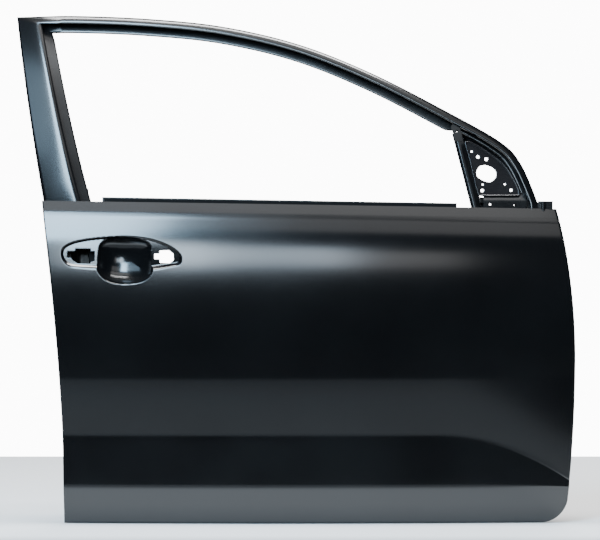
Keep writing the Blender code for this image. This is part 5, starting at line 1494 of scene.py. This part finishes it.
# %% Grids of the inner panel
INNER_STEP = 0.0060
INNER_ROWS = corner_rows() + span(CORNER_R, INNER_TOP, 0.0054) + [INNER_TOP]
BELT_FLANGE_X, BELT_FLANGE_Y = (-0.955, -0.205), 0.0865
BELT_FLANGE_TOP = (BELT_CREASE + 0.031, BELT_CREASE + 0.018)

top_rear, top_front = (ring_point((side, INNER_TOP), RINGS[0])[0] for side in ("rear", "front"))
flange_from, flange_to = ((x - top_rear) / (top_front - top_rear) for x in BELT_FLANGE_X)
INNER_COLUMNS = span(0.0, flange_from, INNER_STEP) + span(flange_from, flange_to, INNER_STEP)
INNER_COLUMNS += span(flange_to, 1.0, INNER_STEP) + [1.0]
path = edge_path(INNER_ROWS, INNER_COLUMNS)
walls = [wall_profile(station) for station in path]

count = len(INNER_ROWS)
face = []
for i in range(count):
    rear, front = Vector(walls[count - 1 - i][0]), Vector(walls[len(walls) - count + i][0])
    face.append([rear.lerp(front, u) for u in INNER_COLUMNS])
for i in range(len(INNER_COLUMNS) - 2):
    face[0][i + 1] = Vector(walls[count + i][0])

belt = []
for u, p in zip(INNER_COLUMNS, face[-1]):
    if flange_from - 1e-6 <= u <= flange_to + 1e-6:
        top = lerp(*BELT_FLANGE_TOP, (u - flange_from) / (flange_to - flange_from))
        line = ((p.x, INNER_Y, p.z), (p.x, INNER_Y - 0.002, p.z + 0.012),
                (p.x, BELT_FLANGE_Y + 0.002, p.z + 0.022), (p.x, BELT_FLANGE_Y, p.z + 0.026),
                (p.x, BELT_FLANGE_Y, top))
        belt.append(fillet(line, 0.0030, 3))
for row in face:
    for p in row:
        p.y += relief(p.x, p.z)
print("%d walls, face %d x %d, belt %d" % (len(walls), len(face), len(face[0]), len(belt)))


# %% [markdown]
# The hinges and the door check are bolted to pads coined 0.4 mm proud of the front
# wall, so these flats are pushed out last, just before the panel is given its gauge.

# %% Inner panel
def pad_box(half_y, half_z, y, z):
    return y - half_y, y + half_y, z - half_z, z + half_z, 0.005


PADS = [pad_box(0.0115, HINGE_BOLT_PITCH / 2 + 0.012, y, z) for y, z in HINGE_FACES]
PADS.append(pad_box(0.0130, 0.040, CHECK_Y, CHECK_Z))
PAD_EDGE = 0.0050

for station, line in zip(path, walls):
    for p in line if station[0] == "front" else ():
        for pad in PADS:
            out = smooth(1.0 - box_gap(p.y, p.z, pad) / PAD_EDGE)
            if -0.004 < p.x < 0.001:
                p.x += PAD_LIFT * out
bm = surface([walls, face, belt])
pressing("inner_panel_pressing", bm, INNER_GAUGE, inner_coat, ["inner_panel"], cutters=[panel_punch])


# %% [markdown]
# Behind the belt of the skin runs a rolled stiffener.  It lies against the skin at
# its top, where both are welded, and stands off below, which leaves the slot for
# the outer belt seal.

# %% Outer belt stiffener
BEHIND_SKIN = SKIN_GAUGE + FIT + REINFORCEMENT_GAUGE / 2
OUTER_BELT = ((0.020, section(BELT_CREASE + 0.020, 0.0) + BEHIND_SKIN),
              (0.010, section(BELT_CREASE + 0.010, 0.0) + BEHIND_SKIN),
              (0.005, 0.0400), (0.0, 0.0455), (-0.015, 0.0460), (-0.022, 0.0410), (-0.028, 0.0400))
belt_rows = []
for i in range(121):
    x = lerp(-0.962, -0.185, i / 120)
    line = fillet([(row_height(BELT_CREASE + rise, x), y + bow(x)) for rise, y in OUTER_BELT], 0.0024, 3)
    belt_rows.append([(x, y, z) for z, y in line])
pressing("belt_stiffener", surface([belt_rows]), REINFORCEMENT_GAUGE, inner_coat,
         ["belt_reinforcement_outer"])


# %% [markdown]
# The foot of the rear pillar stands on a strap that is welded to the inner panel
# below and to the pillar above.  A flat strip bent twice would do, but the upper
# half is trimmed narrower, so that nothing of it shows beside the pillar in the
# window.  The side line of the strap is rounded first, and then drawn across.

# %% Strap of the pillar foot
STRAP_LEFT, STRAP_RIGHT, STRAP_TRIM = -1.003, -0.974, 0.011
STRAP_FLUSH = INNER_Y - INNER_GAUGE / 2 - FIT - REINFORCEMENT_GAUGE / 2
# height over the panel's top, and share of the way out to the frame
STRAP_SIDE = ((-0.046, 0.0), (-0.016, 0.0), (-0.002, 0.15), (0.034, 1.0), (0.070, 1.0))


def strap_x(z, across):
    trimmed = STRAP_TRIM * smooth((z - INNER_TOP + 0.010) / 0.020)
    return lerp(STRAP_LEFT, STRAP_RIGHT - trimmed, across)


def strap_row(across):
    side = []
    for rise, share in STRAP_SIDE:
        z = INNER_TOP + rise
        side.append((z, lerp(STRAP_FLUSH, glass_y(strap_x(z, across), z) + SAIL_BACK, share)))
    return [(strap_x(z, across), y, z) for z, y in fillet(side, 0.0060, 5)]


strap = surface([[strap_row(i / 8) for i in range(9)]])
pressing("pillar_foot_strap", strap, REINFORCEMENT_GAUGE, inner_coat, ["frame_rear_bracket"])


# %% [markdown]
# The sheets are spot welded.  Every weld leaves the round print of the electrode
# tip, about 6 mm wide, in rows with a steady pitch: along the back of the window
# frame, on the belt flange, and round the stiffeners of the hinges, the door check
# and the latch.  Each print needs a place and the sheet's own normal there.

# %% Places of the spot welds
def marked(grid, i, j, towards, gauge):
    """A point on a swept sheet and the normal there, on the side towards a vector."""
    here, along = Vector(grid[i][j]), Vector(grid[i + 1][j]) - Vector(grid[i - 1][j])
    normal = along.cross(Vector(grid[i][j + 1]) - Vector(grid[i][j - 1])).normalized()
    if normal.dot(Vector(towards)) < 0.0:
        normal.negate()
    return here + normal * (gauge / 2), normal


# the flat floor of the seal groove lies between these points of the inner section
GROOVE_FLOOR = (18, 19)
# the wall's profile bends to its ledge round point 18 and is straight from 20 to 32
WALL_MIDDLE, FRONT_WELDS, REAR_WELDS = 24, (18, 26), (20, 26)
FRONT_FITTINGS = [z for _, z in HINGE_FACES] + [CHECK_Z]
INWARDS, FORWARDS, BACKWARDS = (0, 1, 0), (1, 0, 0), (-1, 0, 0)

groove = [(Vector(row[GROOVE_FLOOR[0]]), Vector(row[GROOVE_FLOOR[1]])) for row in frame_rows(inner_section)]
frame_back = [[a.lerp(b, t) for t in (0.0, 0.2, 0.5, 0.8, 1.0)] for a, b in groove]
frame_places = [*range(4, 60, 8), *range(76, 322, 8)]
prints = [marked(frame_back, i, 2, INWARDS, FRAME_GAUGE) for i in frame_places]
flange = []
for line in belt:
    middle = Vector(line[-2]).lerp(Vector(line[-1]), 0.55)
    flange.append([middle + Vector((0.0, 0.0, dz)) for dz in (-0.001, 0.0, 0.001)])
prints += [marked(flange, i, 1, INWARDS, INNER_GAUGE) for i in range(4, len(flange) - 4, 8)]
for k in range(6, len(walls) - 6, 5):
    side, wall = path[k][0], walls[k]
    z = wall[WALL_MIDDLE].z
    if side == "front" and any(abs(z - middle) < 0.062 for middle in FRONT_FITTINGS):
        free = [j for j in FRONT_WELDS if all(box_gap(wall[j].y, z, pad) > 0.004 for pad in PADS)]
        prints += [marked(walls, k, j, FORWARDS, INNER_GAUGE) for j in free]
    if side == "rear" and 0.030 < abs(z - LATCH_Z) < 0.085:
        prints += [marked(walls, k, j, BACKWARDS, INNER_GAUGE) for j in REAR_WELDS]
print(len(prints), "places for welds")


# %% [markdown]
# The same small print repeats, so it is a job for Geometry Nodes: a flat cone with
# a cut top, an instance of it on every point, turned to the stored normal, then
# made real and given its finish.

# %% Nodes of the weld prints
TOP_SHARE = 0.74
tree = bpy.data.node_groups.new("weld_prints", "GeometryNodeTree")
tree.interface.new_socket("Geometry", in_out="INPUT", socket_type="NodeSocketGeometry")
tree.interface.new_socket("Print radius", in_out="INPUT", socket_type="NodeSocketFloat")
tree.interface.new_socket("Print height", in_out="INPUT", socket_type="NodeSocketFloat")
tree.interface.new_socket("Finish", in_out="INPUT", socket_type="NodeSocketMaterial")
tree.interface.new_socket("Geometry", in_out="OUTPUT", socket_type="NodeSocketGeometry")
given = add_node(tree, "NodeGroupInput").outputs
flat = add_node(tree, "ShaderNodeMath", {1: TOP_SHARE}, {0: given["Print radius"]}, operation="MULTIPLY")
button = add_node(tree, "GeometryNodeMeshCone", {"Vertices": 20},
                  {"Radius Top": flat.outputs[0], "Radius Bottom": given["Print radius"],
                   "Depth": given["Print height"]})
normal = add_node(tree, "GeometryNodeInputNamedAttribute", {"Name": "facing"}, data_type="FLOAT_VECTOR")
turned = add_node(tree, "FunctionNodeAlignRotationToVector",
                  links={"Vector": normal.outputs["Attribute"]}, axis="Z")
placed = add_node(tree, "GeometryNodeInstanceOnPoints",
                  links={"Points": given["Geometry"], "Instance": button.outputs["Mesh"],
                         "Rotation": turned.outputs["Rotation"]})
solid = add_node(tree, "GeometryNodeRealizeInstances", links={"Geometry": placed.outputs["Instances"]})
coated = add_node(tree, "GeometryNodeSetMaterial",
                  links={"Geometry": solid.outputs["Geometry"], "Material": given["Finish"]})
add_node(tree, "NodeGroupOutput", links={"Geometry": coated.outputs["Geometry"]})
print("weld tree has", len(tree.nodes), "nodes")


# %% [markdown]
# A mesh of bare points carries the places and normals.  The tree is applied to it
# as a modifier, and its result is baked like the pressings.

# %% Spot welds
WELD_INPUTS = {"Print radius": 0.0032, "Print height": 0.00040, "Finish": inner_coat}
carrier_mesh = bpy.data.meshes.new("weld_points")
carrier_mesh.from_pydata([p + SHIFT for p, _ in prints], [], [])
facing = carrier_mesh.attributes.new("facing", "FLOAT_VECTOR", "POINT")
for place, (_, normal) in zip(facing.data, prints):
    place.vector = normal
welds = bpy.data.objects.new("spot_welds", carrier_mesh)
bpy.context.scene.collection.objects.link(welds)

stamp = welds.modifiers.new("weld_prints", "NODES")
stamp.node_group = tree
for socket in tree.interface.items_tree:
    if socket.name in WELD_INPUTS:
        stamp[socket.identifier] = WELD_INPUTS[socket.name]
baked = bpy.data.meshes.new_from_object(welds.evaluated_get(bpy.context.evaluated_depsgraph_get()))
welds.modifiers.clear()
welds.data = baked
bpy.data.meshes.remove(carrier_mesh)
baked.name = "spot_welds"
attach(welds, BODY)
print(len(prints), "spot welds,", len(baked.polygons), "faces")


# %% [markdown]
# Every CAD node that stays visible gets its finish.

# %% Finishes of the CAD pieces
# These pieces lie deep inside the door and take the coat with painted cavity shade.
CAVITY_NODES = ("handle_reinforcement", "belt_reinforcement_inner", "rear_glass_run")
for name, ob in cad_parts.items():
    if name.startswith("anti_flutter_pad"):
        coat = sealer
    elif "nut" in name:
        coat = nut_coat
    elif name in CAVITY_NODES:
        coat = cavity_shade_coat
    else:
        coat = inner_coat
    ob.data.materials.clear()
    ob.data.materials.append(coat)
